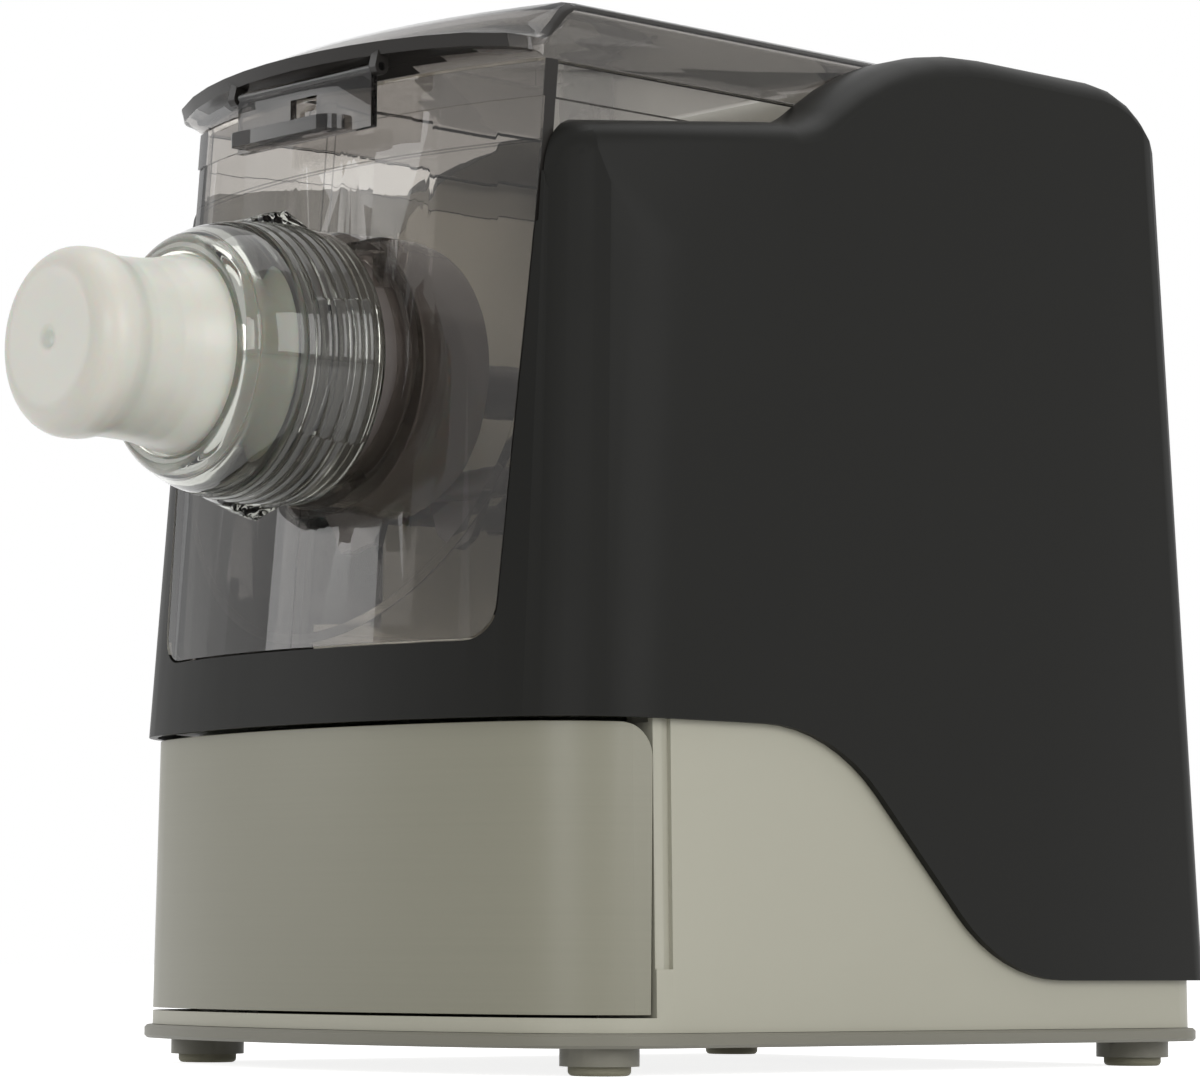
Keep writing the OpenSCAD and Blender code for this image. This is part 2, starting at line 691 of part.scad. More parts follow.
board_top = hump_h - 13;
board_t = 1.6;
board_w = 2 * controls_half - 14;
board_d = controls_d - 4;
lens_w = 34;
lens_d = 18;
lens_t = 0.8;
switch_h = 5;
buttons_x = 22;
button_h = board_top + switch_h + button_travel + slip;
button_places = [for (i = [0:2]) buttons_x + (i - 1) * button_pitch];

module board_corners()
  translate([0, controls_y, 0]) four_at(board_w / 2 - 5, board_d / 2 - 4) children();

module control_panel() color([0.05, 0.05, 0.05])
  translate([0, controls_y, panel_floor + sliver]) difference() {
    linear_extrude(controls_t) difference() {
      rounded_rect(2 * controls_half, controls_d, 4);
      for (x = button_places) translate([x, 0]) circle(button_r + slip);
    }
    translate([-lens_x, 0, controls_t - lens_t]) linear_extrude(2)
      rounded_rect(lens_w + slip, lens_d + slip, 2);
  }
module display_lens() color([0.10, 0.12, 0.14])
  translate([-lens_x, controls_y, panel_floor + controls_t - lens_t + 0.1]) linear_extrude(lens_t)
    rounded_rect(lens_w, lens_d, 1.9);

module push_button(x) {
  top = hump_h - button_h;
  translate([x, controls_y, button_h]) rotate_extrude() polygon(concat(
    [[0, 0], [button_r + 1, 0], [button_r + 1, 1.2], [button_r, 1.2], [button_r, top]],
    arc(button_r - 1, top + 0.4, 1, 0, 90, 4),
    [[button_r / 2, top + 1.2], [0, top + 1]]));
}
module start_button() color([0.75, 0.75, 0.73]) push_button(button_places[0]);
module select_button() color([0.75, 0.75, 0.73]) push_button(button_places[1]);
module time_button() color([0.75, 0.75, 0.73]) push_button(button_places[2]);

module button_switches() color([0.12, 0.12, 0.12])
  for (x = button_places) translate([x, controls_y, board_top + sliver]) {
    translate([-3, -3, 0]) cube([6, 6, switch_h - 1.5]);
    cylinder(r = 1.7, h = switch_h - 2 * sliver);
  }
module control_board() color([0.10, 0.35, 0.20])
  difference() {
    translate([0, controls_y, board_top - board_t]) linear_extrude(board_t)
      rounded_rect(board_w, board_d, 2);
    board_corners() translate([0, 0, board_top - 5]) cylinder(r = 1.2, h = 10);
  }

// ---------------------------------------------------------------- tub, panel and lid

band_low = rim_h - band_h;
cheek_top = band_low - slip;                    // top of the frame's side cheeks
band_proud = 0.6;
panel_gap = 0.6;                                // between the front panel and its window
barrel_hole_r = neck_r + 1.2;
flange_r = neck_r + 5;                          // inner flange of the barrel
seal_r = shaft_r + 3;

module tub_outline(inset) {
  translate([0, axis_h]) circle(tub_half - inset);
  translate([inset - tub_half, axis_h])
    square([2 * (tub_half - inset), rim_h - axis_h + (inset > 0 ? past : 0)]);
}
module mixing_tub() color([0.35, 0.33, 0.32, 0.5])
  difference() {
    intersection() {
      union() {
        extrude_y(-far, tub_rear) tub_outline(0);
        mirrored_x() block(tub_half - 1, tub_half + band_proud, -far, tub_rear, band_low, rim_h);
      }
      shell_form(tub_base, rim_h + 5, -panel_t - 2 * slip);
    }
    intersection() {
      extrude_y(-far, tub_rear - tub_wall) tub_outline(tub_wall);
      translate([0, -past, 0]) shell_form(tub_base, rim_h + 6, -panel_t - 2 * slip + past / 2);
    }
    along_y(tub_rear - tub_wall - past) cylinder(r = seal_r + seat, h = tub_wall + 2 * past);
  }
tub_base = axis_h - tub_half - 4;

module front_panel() color([0.35, 0.33, 0.32, 0.5])
  difference() {
    union() {
      intersection() {
        difference() {
          shell_form(window_low - 5, rim_h, -slip);
          shell_form(window_low - 6, rim_h + past, -slip - panel_t);
        }
        extrude_y(-far, -60) window_outline(panel_gap);
      }
      intersection() {
        difference() {
          shell_form(band_low, rim_h, -slip + band_proud);
          shell_form(band_low - past, rim_h + past, -slip - 1);
        }
        extrude_y(-far, -60) window_outline(panel_gap);
      }
      along_y(panel_back_y) difference() {
        cylinder(r = flange_r, h = flange_y - slip - panel_back_y);
        translate([0, 0, -past]) cylinder(r = barrel_hole_r, h = 20);
      }
      extrude_x(-catch_half, catch_half) polygon([[catch_y, catch_z - catch_r], [catch_y, catch_z],
        [catch_y + 3, catch_z + catch_r], [latch_y + latch_reach + 1, catch_z + catch_r],
        [latch_y + latch_reach + 1, catch_z - catch_r]]);
      nut_stop();
    }
    along_y(-far) cylinder(r = barrel_hole_r, h = 2 * far);
  }
catch_z = rim_h - 6.5;
catch_half = 5;
catch_r = 2.5;
panel_back_y = -shell_front_at(axis_h) + panel_t - 1;
flange_y = panel_back_y + 7;

// The hooked stop beside the nut
stop_x = 30;
stop_z = 220;
stop_t = 3.3;
stop_w = 15;
stop_h = 14;
stop_reach = 3.5;
module nut_stop() translate([stop_x, -shell_front_at(stop_z + stop_h / 2) - stop_reach, stop_z]) {
  block(0, stop_t, 0, stop_reach + panel_t, 0, stop_h);
  block(stop_t - stop_w, stop_t, 0, stop_reach + panel_t, stop_h - stop_t, stop_h);
}

lid_low = rim_h + slip;
lid_top = lid_low + lid_h;
lid_rear = tub_rear + 6;
hinge_y = tub_rear + 2;
hinge_z = lid_top - 7.9;
hinge_pin_r = 2;
lug_x = 54;
lug_w = 8;
ear_w = 3;
ear_gap = 0.8;
hinge_ear_r = 4.4;
lid_round = 4;
lid_half = tub_half + 0.3;
slope_start = 18;                               // how far behind the front edge the lid's top starts to fall
lip_h = 3.6;                                    // height of the visor's edge
visor_side = 8.5;                               // how far the visor stands out at its sides

// Distance from the feet's centre to the front edge, at a half width
function front_edge(x, z) = bow_back(x) - shell_front_at(z);

// How far a rounded edge falls away near an end
function round_off(x, half, r) =
  let (over = abs(x) - half + r) over > 0 ? r - sqrt(max(0, r * r - over * over)) : 0;

// Places of the slices across the lid, close together at its rounded edges
function slices_across(half, r) =
  let (ends = [for (a = [22.5:22.5:90]) half - r + r * sin(a)])
  concat([for (i = [3:-1:0]) -ends[i]], [for (i = [-6:6]) i / 6 * (half - r)], ends);

// Upper corner of the visor's edge
function visor_tip(x) =
  let (bow = 1 - pow(abs(x) / lid_half, 2))
  [front_edge(x, rim_h) - visor_side - (visor_reach - visor_side) * bow + round_off(x, lid_half, lid_round),
    lid_low + 7 + bow - 2 * pow(abs(x) / lid_half, 8)];

// A point on the lid's front, which falls from its top at t = 0 and flares out to the visor at t = 1
function front_slope(x, t, fall) =
  let (
    start = front_edge(x, rim_h) + slope_start,
    tip = visor_tip(x),
    top = lid_top - fall,
    u = max(0, min(1, (t - 0.2) / 0.55))
  )
  [start + (tip[0] - start) * t, top - (top - tip[1]) * u * u * (3 - 2 * u)];

// One upright slice along the lid, seen from its side
function lid_ring(x) =
  let (
    fall = round_off(x, lid_half, lid_round),
    edge = front_edge(x, rim_h),
    tip = visor_tip(x),
    lip = [tip[0] + 1.2, tip[1] - lip_h]
  )
  [for (p = concat(
    [[lid_rear, lid_low], [lid_rear, lid_top - fall - 2], [lid_rear - 2, lid_top - fall]],
    [for (t = [0:0.125:1]) front_slope(x, t, fall)],
    [for (t = [0:0.25:1]) [lip[0] + (edge - lip[0]) * t, lip[1] + (lid_low - lip[1]) * pow(t, 1.6)]]))
    [x, p[0], p[1]]];

// The same slice of the space inside the lid, open below and at the rear
function lid_space_ring(x) =
  let (fall = round_off(x, lid_half - lid_wall, lid_round / 2), edge = front_edge(x, rim_h) + lid_wall)
  [for (p = concat(
    [[lid_rear + past, lid_low - past], [lid_rear + past, lid_top - lid_wall - fall]],
    [for (t = [0:0.125:0.5]) front_slope(x, t, fall) + [1.4, -lid_wall]],
    [[edge, lid_low + 4], [edge, lid_low - past]]))
    [x, p[0], p[1]]];

module lid() color([0.35, 0.33, 0.32, 0.5])
  difference() {
    union() {
      difference() {
        skin([for (x = slices_across(lid_half, lid_round)) lid_ring(x)]);
        skin([for (x = slices_across(lid_half - lid_wall, lid_round / 2)) lid_space_ring(x)]);
        block(-far, far, hinge_y + 1, far, 0, lid_top - lid_wall);
      }
      mirrored_x() lid_lug();
      mirrored_x() latch_ear();
    }
    mirrored_x() translate([lug_x - past, hinge_y, hinge_z]) rotate([0, 90, 0])
      cylinder(r = hinge_pin_r + run, h = lug_w + 2 * past);
    mirrored_x() translate([latch_w / 2, latch_pivot_y, latch_pivot_z]) rotate([0, 90, 0])
      cylinder(r = latch_pin_r + run, h = 10);
  }
module lid_lug() {
  r = hinge_pin_r + 2.2;
  extrude_x(lug_x, lug_x + lug_w) {
    translate([hinge_y, hinge_z]) circle(r);
    translate([hinge_y - r, hinge_z]) square([2 * r, lid_top - lid_wall + 0.5 - hinge_z]);
  }
}
module lid_hinge_bracket() color([0.17, 0.17, 0.165]) {
  shelf = lid_low - 4.5;
  shelf_y = tub_rear + 0.8;
  left = lug_x - ear_w - 4;
  right = lug_x + lug_w + ear_w + 4;
  mirrored_x() difference() {
    union() {
      block(left, right, block_y - 2.6, block_y - slip / 3, shoulder_h - 8, shelf + 3);
      block(left, right, shelf_y, block_y - slip / 3, shelf, shelf + 3);
      for (x = [lug_x - ear_gap - ear_w, lug_x + lug_w + ear_gap]) extrude_x(x, x + ear_w) {
        translate([hinge_y, hinge_z]) circle(hinge_ear_r);
        translate([hinge_y - hinge_ear_r, rim_h + 0.9]) square([2 * hinge_ear_r, hinge_z - rim_h - 0.9]);
        translate([shelf_y, shelf]) square([hinge_y + hinge_ear_r - shelf_y, hinge_z - shelf]);
      }
    }
    translate([0, hinge_y, hinge_z]) rotate([0, 90, 0]) cylinder(r = hinge_pin_r + seat, h = far);
  }
}
module lid_hinge_pins() color("silver")
  mirrored_x() translate([lug_x - ear_gap - ear_w - 0.5, hinge_y, hinge_z]) rotate([0, 90, 0])
    cylinder(r = hinge_pin_r, h = lug_w + 2 * (ear_gap + ear_w) + 1);

latch_y = -shell_front_at(catch_z) - latch_reach; // rear face of the latch tab
catch_y = latch_y + 0.4;                        // the catch stops short of the tab
latch_t = 2.2;
latch_top = lid_low + 0.2;
latch_pivot_y = latch_y - latch_t / 2;
latch_pivot_z = latch_top + 0.8;
latch_pin_r = 1.2;
ledge_left = 27.5;
ledge_right = 19;
ledge_reach = 6;
ledge_z = 0.8;
ledge_t = 4.2;
ear_x = latch_w / 2 + slip;
module latch_ear() extrude_x(ear_x, ear_x + 3) polygon(concat(
  [[latch_pivot_y + 2.4, latch_pivot_z + 5.4], [latch_pivot_y - 1.2, latch_pivot_z + 5]],
  arc(latch_pivot_y, latch_pivot_z, 2.4, 180, 360, 8)));

// Plan of the ledge that a finger pulls the latch by
module finger_ledge() polygon(concat(
  arc(2 - ledge_left, 2 - ledge_reach, 2, 270, 180, 4), [[-ledge_left, 0.5], [ledge_right, 0.5]],
  arc(ledge_right - 6, 6 - ledge_reach, 6, 0, -90, 4)));

module lid_latch() color([0.30, 0.28, 0.27, 0.6]) {
  foot = latch_top - latch_h;
  extrude_y(latch_y - latch_t, latch_y) difference() {
    translate([-latch_w / 2, foot]) square([latch_w, latch_pivot_z - foot]);
    translate([-catch_half - 1, catch_z - catch_r - 1]) square(2 * [catch_half + 1, catch_r + 1]);
  }
  translate([0, latch_y - latch_t, foot + ledge_z]) linear_extrude(ledge_t) finger_ledge();
  extrude_x(-latch_w / 2, latch_w / 2) translate([latch_pivot_y, latch_pivot_z]) circle(latch_pin_r + 0.4);
  translate([-ear_x - 2.4, latch_pivot_y, latch_pivot_z]) rotate([0, 90, 0])
    cylinder(r = latch_pin_r, h = 2 * ear_x + 4.8);
}

// ---------------------------------------------------------------- drive

shaft_front = -14;
shaft_square = 1.4 * shaft_r;                   // square end that turns the screw
gear_y = wall_y + 4.8;                          // front face of the slow gears
fast_gear_y = gear_y + gear_w + 1.3;
cover_back_y = fast_gear_y + gear_w + 2;        // inside of the gearbox cover's rear wall
gearbox_t = 2.5;
motor_y = cover_back_y + gearbox_t + slip;
motor_boss_r = 10;
motor_shaft_r = 3;
motor_screw_r = 28;                             // radius of the circle of the motor's screws
fan_w = 6;
pressure = 20;                                  // pressure angle of the gears, in degrees
backlash = 0.2;

function involute(a) = tan(a) * 180 / PI - a;
function gear_points(teeth, module_mm) =
  let (
    r = module_mm * teeth / 2,
    base = r * cos(pressure),
    root = r - 1.1 * module_mm,
    tip = r + 0.8 * module_mm,
    half = 90 / teeth + involute(pressure) - backlash / 2 / r * 180 / PI,
    low = max(base, root),
    flank = [for (i = [0:3]) let (q = low + (tip - low) * i / 3)
      [q, half - involute(acos(min(1, base / q)))]]
  )
  [for (k = [0:teeth - 1]) let (c = k * 360 / teeth) each concat(
    [[root * cos(c - flank[0][1]), root * sin(c - flank[0][1])]],
    [for (f = flank) [f[0] * cos(c - f[1]), f[0] * sin(c - f[1])]],
    [for (i = [3:-1:0]) let (f = flank[i]) [f[0] * cos(c + f[1]), f[0] * sin(c + f[1])]],
    [[root * cos(c + flank[0][1]), root * sin(c + flank[0][1])]])];

module gear(teeth, module_mm, width, bore, turn = 0)
  linear_extrude(width) difference() {
    rotate(turn) polygon(gear_points(teeth, module_mm));
    circle(bore);
  }

// Turn that puts a gap between two teeth straight below the gear's axis
function gap_below(teeth) = 90 + 180 / teeth;

module drive_gear() color([0.85, 0.84, 0.78])
  along_y(gear_y) difference() {
    gear(slow_teeth, slow_module, gear_w, shaft_r + seat, gap_below(slow_teeth));
    for (a = [0:60:300]) rotate(a) translate([slow_module * slow_teeth * 0.293, 0, -past])
      cylinder(r = slow_module * slow_teeth * 0.081, h = gear_w + 2 * past);
  }
module idler_gear() color([0.85, 0.84, 0.78]) {
  along_y(gear_y - slip, 0, idler_z) gear(slow_pinion_teeth, slow_module, gear_w + 1, pin_r + run, 270);
  along_y(gear_y - slip + gear_w + 1, 0, idler_z)
    gear(fast_teeth, fast_module, gear_w + slip, pin_r + run, 90);
}
module idler_pin() color("silver")
  along_y(wall_y + 0.2, 0, idler_z) cylinder(r = pin_r, h = cover_back_y + gearbox_t - wall_y - 0.4);
module motor_pinion() color([0.80, 0.78, 0.70]) {
  along_y(fast_gear_y, 0, motor_z)
    gear(fast_pinion_teeth, fast_module, gear_w, motor_shaft_r - 1, 180 + gap_below(fast_pinion_teeth));
  along_y(fast_gear_y - 1, 0, motor_z)
    cylinder(r = motor_shaft_r, h = motor_y + motor_len + fan_w + 4 - fast_gear_y);
}
module gearbox_outline(grow) {
  translate([0, axis_h]) circle(slow_module * slow_teeth / 2 + 4 + grow);
  translate([0, idler_z]) circle(fast_module * fast_teeth / 2 + 4 + grow);
  translate([-14 - grow, motor_z]) square([28 + 2 * grow, idler_z - motor_z]);
  translate([0, motor_z]) circle(14 + grow);
}
module gearbox_cover() color([0.55, 0.55, 0.54])
  difference() {
    union() {
      extrude_y(wall_y + frame_wall + slip / 3, cover_back_y + gearbox_t) gearbox_outline(2.2);
      along_y(cover_back_y, 0, motor_z) cylinder(r = motor_r, h = gearbox_t);
    }
    extrude_y(wall_y, cover_back_y) gearbox_outline(0);
    along_y(cover_back_y - past, 0, motor_z) cylinder(r = motor_boss_r + seat, h = 10);
    along_y(cover_back_y - past, 0, idler_z) cylinder(r = pin_r + seat, h = 10);
    along_y(cover_back_y - past, 0, axis_h) cylinder(r = bearing_r + seat, h = 10);
    motor_screw_places() along_y(cover_back_y - past) cylinder(r = 1.6, h = 10);
  }
module motor_screw_places() for (a = [45:90:315])
  translate([motor_screw_r * cos(a), 0, motor_screw_r * sin(a) + motor_z - axis_h]) children();

module motor() color([0.60, 0.60, 0.62])
  difference() {
    union() {
      along_y(motor_y, 0, motor_z) rotate_extrude() polygon(concat([[0, 0], [motor_r - 2, 0], [motor_r, 2]],
        [[motor_r, motor_len - 3], [motor_r - 3, motor_len], [0, motor_len]]));
      along_y(cover_back_y + 0.4, 0, motor_z) cylinder(r = motor_boss_r, h = 5);
    }
    along_y(cover_back_y - past, 0, motor_z) cylinder(r = motor_shaft_r + run, h = far);
    motor_screw_places() along_y(motor_y - past) cylinder(r = 1.5 + seat, h = 8);
  }
module motor_screws() color("silver")
  motor_screw_places() along_y(cover_back_y - 2.2) {
    cylinder(r = 2.6, h = 2);
    cylinder(r = 1.5, h = 9);
  }
module cooling_fan() color([0.20, 0.20, 0.20])
  along_y(motor_y + motor_len + 2, 0, motor_z) difference() {
    union() {
      cylinder(r = 8, h = fan_w);
      for (a = [0:45:315]) rotate(a) translate([7, -1, 0]) cube([motor_r - 10, 2, fan_w]);
    }
    translate([0, 0, -past]) cylinder(r = motor_shaft_r + seat, h = 10);
  }
module shaft_bearings() color([0.78, 0.60, 0.38])
  for (y = [wall_y - 0.4, cover_back_y - 0.6])
    along_y(y) difference() {
      cylinder(r = bearing_r, h = 4);
      translate([0, 0, -past]) cylinder(r = shaft_r + run, h = 6);
    }
module shaft_seal() color([0.12, 0.12, 0.12])
  along_y(tub_rear - tub_wall - 0.2) difference() {
    union() {
      cylinder(r = seal_r, h = tub_wall + 2);
      translate([0, 0, tub_wall + 0.4]) cylinder(r = seal_r + 2, h = 2);
    }
    translate([0, 0, -past]) cylinder(r = shaft_r + run, h = 9);
  }
module drive_shaft() color("silver") {
  shoulder = tub_rear - tub_wall - 1.4;         // where the square front end begins
  along_y(shoulder) cylinder(r = shaft_r, h = cover_back_y + 3.4 - shoulder);
  extrude_y(shaft_front, shoulder + 0.5) translate([0, axis_h]) square(shaft_square, center = true);
}

// ---------------------------------------------------------------- mixing and extruding

nut_y = -191.7;                                 // front face of the nut
nut_rear_y = nut_y + nut_len;
cup_front = nut_y + 4.9;
cup_rear = cup_front + 12.8;
neck_front = cup_rear + slip + 1.6;
screw_end = cup_rear + 4;
core_r = 8;
hub_core_r = 10;
barrel_rear = flange_y + 24;
flight_len = 56;
flight_t = 3.2;
hub_y = -40;                                    // where the screw's core widens into its hub

module auger() color([0.30, 0.30, 0.30])
  difference() {
    union() {
      along_y(screw_end) cylinder(r = core_r, h = hub_y - screw_end);
      along_y(hub_y) cylinder(r = hub_core_r, h = tub_rear - tub_wall - 1.8 - hub_y);
      along_y(screw_end + 2)
        linear_extrude(flight_len, twist = -360 * flight_len / screw_pitch, slices = 48, $fn = 20)
        translate([core_r - 1, -flight_t / 2]) square([screw_r - core_r + 1, flight_t]);
    }
    extrude_y(shaft_front - slip, far) translate([0, axis_h]) square(shaft_square + slip, center = true);
  }

arm_y = -104;                                   // front bar of the paddle
bar_r = 4.5;
bar_drop = 32;
bar_left = -52;
bar_right = 39;
blade_y = -29;                                  // rear blades of the paddle
rod_x = -45;                                    // rod that joins the two
blade_angle = atan2(bar_drop, -rod_x);
module mixing_paddle() color([0.28, 0.27, 0.27])
  difference() {
    union() {
      along_y(arm_y - 6) cylinder(r = core_r + 4, h = 12);
      block(-6, 6, arm_y - 3, arm_y + 3, axis_h - bar_drop, axis_h - core_r);
      translate([bar_left, arm_y, axis_h - bar_drop]) rotate([0, 90, 0])
        cylinder(r = bar_r, h = bar_right - bar_left);
      for (x = [bar_left, bar_right]) translate([x, arm_y, axis_h - bar_drop]) sphere(r = bar_r);
      extrude_y(arm_y - 1.5, arm_y + 1.5) translate([0, axis_h - bar_drop]) {
        polygon([[8, -2], [34, -2], [27, -15], [20, -18], [13, -14]]);
        polygon([[-42, -2], [-12, -2], [-16, -14], [-30, -17]]);
      }
      along_y(arm_y, rod_x, axis_h - bar_drop) cylinder(r = 4, h = blade_y - arm_y);
      along_y(blade_y - 7) cylinder(r = hub_core_r + 4, h = 14);
      along_y(blade_y) rotate([0, 0, 180 - blade_angle]) for (s = [-1, 1])
        translate([s * 36 - 24, -2.5, -6]) cube([48, 5, 12]);
    }
    along_y(arm_y - 20) cylinder(r = core_r + seat, h = 40);
    along_y(-50) cylinder(r = hub_core_r + seat, h = 40);
  }

module extruder_barrel() color([0.30, 0.28, 0.27, 0.6])
  along_y(0) difference() {
    rotate_extrude() polygon(concat(
      [[screw_r + 0.6, neck_front], [neck_r - 1, neck_front], [neck_r, neck_front + 1]],
      [for (i = [0:5]) each let (y = neck_front + 3 + i * thread_pitch)
        [[neck_r, y], [neck_r + 0.8, y + 0.5], [neck_r + 0.8, y + 1.1], [neck_r, y + 1.6]]],
      [[neck_r, flange_y], [flange_r, flange_y], [flange_r, barrel_rear - 2], [flange_r - 2, barrel_rear],
        [neck_r, barrel_rear], [screw_r + 0.6, barrel_rear - 14]]));
    translate([0, 0, neck_front - past]) difference() {
      cylinder(r = 31.4, h = past + 1);
      cylinder(r = 27.6, h = past + 1);
    }
  }
module die_seal() color([0.82, 0.82, 0.80])
  along_y(cup_rear + slip / 2) difference() {
    cylinder(r = 31, h = 2.4);
    translate([0, 0, -past]) cylinder(r = 28, h = 5);
  }

module die_cap() color([0.92, 0.92, 0.90])
  along_y(0) rotate_extrude() polygon(concat(
    [[0, nose_y + 0.9], [1.6, nose_y + 0.9], [2.6, nose_y]],
    arc(nose_r - 7, nose_y + 7, 7, -90, 0, 6),
    [[nose_r, nose_y + 11], [nose_r - 1.3, nose_y + 17], [nose_r - 0.9, nose_y + 28],
      [nose_hole_r - 0.9, nut_y - 3],
      [nose_hole_r - slip, nut_y], [nose_hole_r - slip, cup_front], [nut_front_r - 1.1, cup_front],
      [nut_front_r - 1.1, cup_rear], [24, cup_rear], [24, cup_front - 2], [nose_r - 4, cup_front - 12],
      [nose_r - 4, nose_y + 10], [nose_r - 10, nose_y + 4.5], [0, nose_y + 4.5]]));
nose_y = nut_y - nose_len;
nose_hole_r = 28.3;
thread_r = neck_r + 1.1;

module locking_nut() color([0.80, 0.84, 0.84, 0.35])
  along_y(0) {
    rotate_extrude() polygon(concat(
      [[nose_hole_r, nut_y + 1], [nose_hole_r + 0.8, nut_y], [nut_front_r - 2.5, nut_y],
        [nut_front_r, nut_y + 3.7],
        [nut_front_r + 2.7, nut_y + 8.7], [nut_rear_r - 1.4, nut_y + 15], [nut_rear_r - 0.4, nut_y + 24],
        [nut_rear_r, nut_y + 34], [nut_rear_r, nut_rear_y]],
      [for (i = [6:-1:0]) each let (y = cup_rear + 3.4 + i * thread_pitch)
        [[thread_r, y + 2.4], [thread_r + 1.4, y + 1.7], [thread_r + 1.4, y + 0.7], [thread_r, y]]],
      [[thread_r, cup_rear + 1], [nut_front_r - 0.7, cup_rear], [nut_front_r - 0.7, cup_front - slip],
        [nose_hole_r, cup_front - slip]]));
    for (k = [0:2]) rotate([0, 0, -21 + 120 * k]) rotate_extrude(angle = 58) polygon([
      [nut_rear_r - 2, nut_y + 21], [nut_rear_r - 0.5, nut_y + 21], [nut_rear_r + grip_h - 1.2, nut_y + 33],
      [nut_rear_r + grip_h, nut_y + 40], [nut_rear_r + grip_h, nut_rear_y], [nut_rear_r - 2, nut_rear_y]]);
  }

// The power board stands beside the gearbox, with a transformer and a relay on it
power_x = 55;
power_z = deck_z + 11.2;
power_h = 80;
power_d = 57;
module power_board() color([0.10, 0.35, 0.20]) translate([power_x, wall_y + frame_wall + slip, power_z]) {
  cube([board_t, power_d, power_h]);
  translate([board_t, power_d / 3, power_h / 4]) cube([power_h / 4, power_h / 4, power_h * 3 / 8]);
  translate([board_t, power_d * 0.75, power_h * 3 / 8]) cube([power_h / 8, power_h / 8, power_h / 5]);
}

// Moves the machine so that the origin is the middle of its footprint
machine_rear = max(base_rear + plate_lip, shell_rear_at(seam_low));
shift_y = -(machine_rear + nose_y) / 2;
module placed() translate([0, shift_y, 0]) children();

placed() base_plate();
placed() foot_pads();
placed() base_screws();
placed() base_housing();
placed() drawer_rails();
placed() drawer_front();
placed() drawer_tray();
placed() drawer_screws();
placed() inner_frame();
placed() upper_housing();
placed() rear_cover();
placed() cover_screws();
placed() mains_inlet();
placed() inlet_pins();
placed() control_panel();
placed() display_lens();
placed() start_button();
placed() select_button();
placed() time_button();
placed() button_switches();
placed() control_board();
placed() power_board();
placed() mixing_tub();
placed() front_panel();
placed() lid();
placed() lid_latch();
placed() lid_hinge_bracket();
placed() lid_hinge_pins();
placed() shaft_seal();
placed() shaft_bearings();
placed() drive_shaft();
placed() drive_gear();
placed() idler_gear();
placed() idler_pin();
placed() motor_pinion();
placed() motor();
placed() motor_screws();
placed() gearbox_cover();
placed() cooling_fan();
placed() auger();
placed() mixing_paddle();
placed() extruder_barrel();
placed() die_seal();
placed() die_cap();
placed() locking_nut();
placed() chassis_screws();
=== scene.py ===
# %% [markdown]
# # Dressing a pasta maker
# The machine is a mixing tub of smoky clear plastic in a black housing, on a cream base with a drawer.
# A screw in the tub pushes the dough through a white cap, which a clear nut holds on the front.
# The construction model gives every part its place and size. Blender gives it edges that catch the light,
# and finishes with the grain, gloss and small unevenness of moulded plastic.

# %% Load the construction model
import json
import math
import bmesh
import bpy
import numpy as np
from mathutils import Matrix, Vector

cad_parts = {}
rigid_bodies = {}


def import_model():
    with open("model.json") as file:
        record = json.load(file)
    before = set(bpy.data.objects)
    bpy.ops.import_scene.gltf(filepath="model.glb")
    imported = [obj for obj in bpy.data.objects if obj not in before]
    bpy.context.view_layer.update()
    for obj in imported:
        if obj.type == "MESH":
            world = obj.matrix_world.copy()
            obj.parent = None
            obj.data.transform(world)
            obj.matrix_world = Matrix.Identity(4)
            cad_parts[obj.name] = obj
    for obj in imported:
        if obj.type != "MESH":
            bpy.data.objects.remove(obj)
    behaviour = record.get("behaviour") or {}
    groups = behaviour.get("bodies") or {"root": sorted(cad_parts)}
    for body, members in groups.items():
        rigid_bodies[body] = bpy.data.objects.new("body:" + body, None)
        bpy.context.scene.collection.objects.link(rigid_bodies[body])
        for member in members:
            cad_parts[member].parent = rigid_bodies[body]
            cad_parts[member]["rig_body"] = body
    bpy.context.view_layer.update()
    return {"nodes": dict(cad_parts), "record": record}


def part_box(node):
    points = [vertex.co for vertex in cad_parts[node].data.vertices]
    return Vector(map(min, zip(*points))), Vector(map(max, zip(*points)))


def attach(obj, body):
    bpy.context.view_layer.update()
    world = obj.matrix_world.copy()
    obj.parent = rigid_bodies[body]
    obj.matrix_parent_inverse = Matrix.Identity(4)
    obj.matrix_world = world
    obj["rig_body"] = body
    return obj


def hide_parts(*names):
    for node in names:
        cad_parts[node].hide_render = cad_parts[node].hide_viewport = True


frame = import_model()
nodes = frame["nodes"]

# %% [markdown]
# ## The camera
# A product picture is taken from some distance with a long lens, so that upright edges stay nearly parallel.
# The camera stands low, level with the drawer, and looks slightly up. Its view is built from three turns,
# about the upright axis, then the lens's side axis, then the line of sight, which is easier to follow than
# one set of combined angles.

# %% Place the camera
def turn(degrees, axis):
    """A turn about one axis, as a matrix."""
    return Matrix.Rotation(math.radians(degrees), 4, axis)


FOCAL_LENGTH, SENSOR_WIDTH = 130.134, 36
CAMERA_PLACE = (0.973917, -0.852827, 0.032544)
ROUND, TILT, ROLL = 48.034, 95.490, 0.291

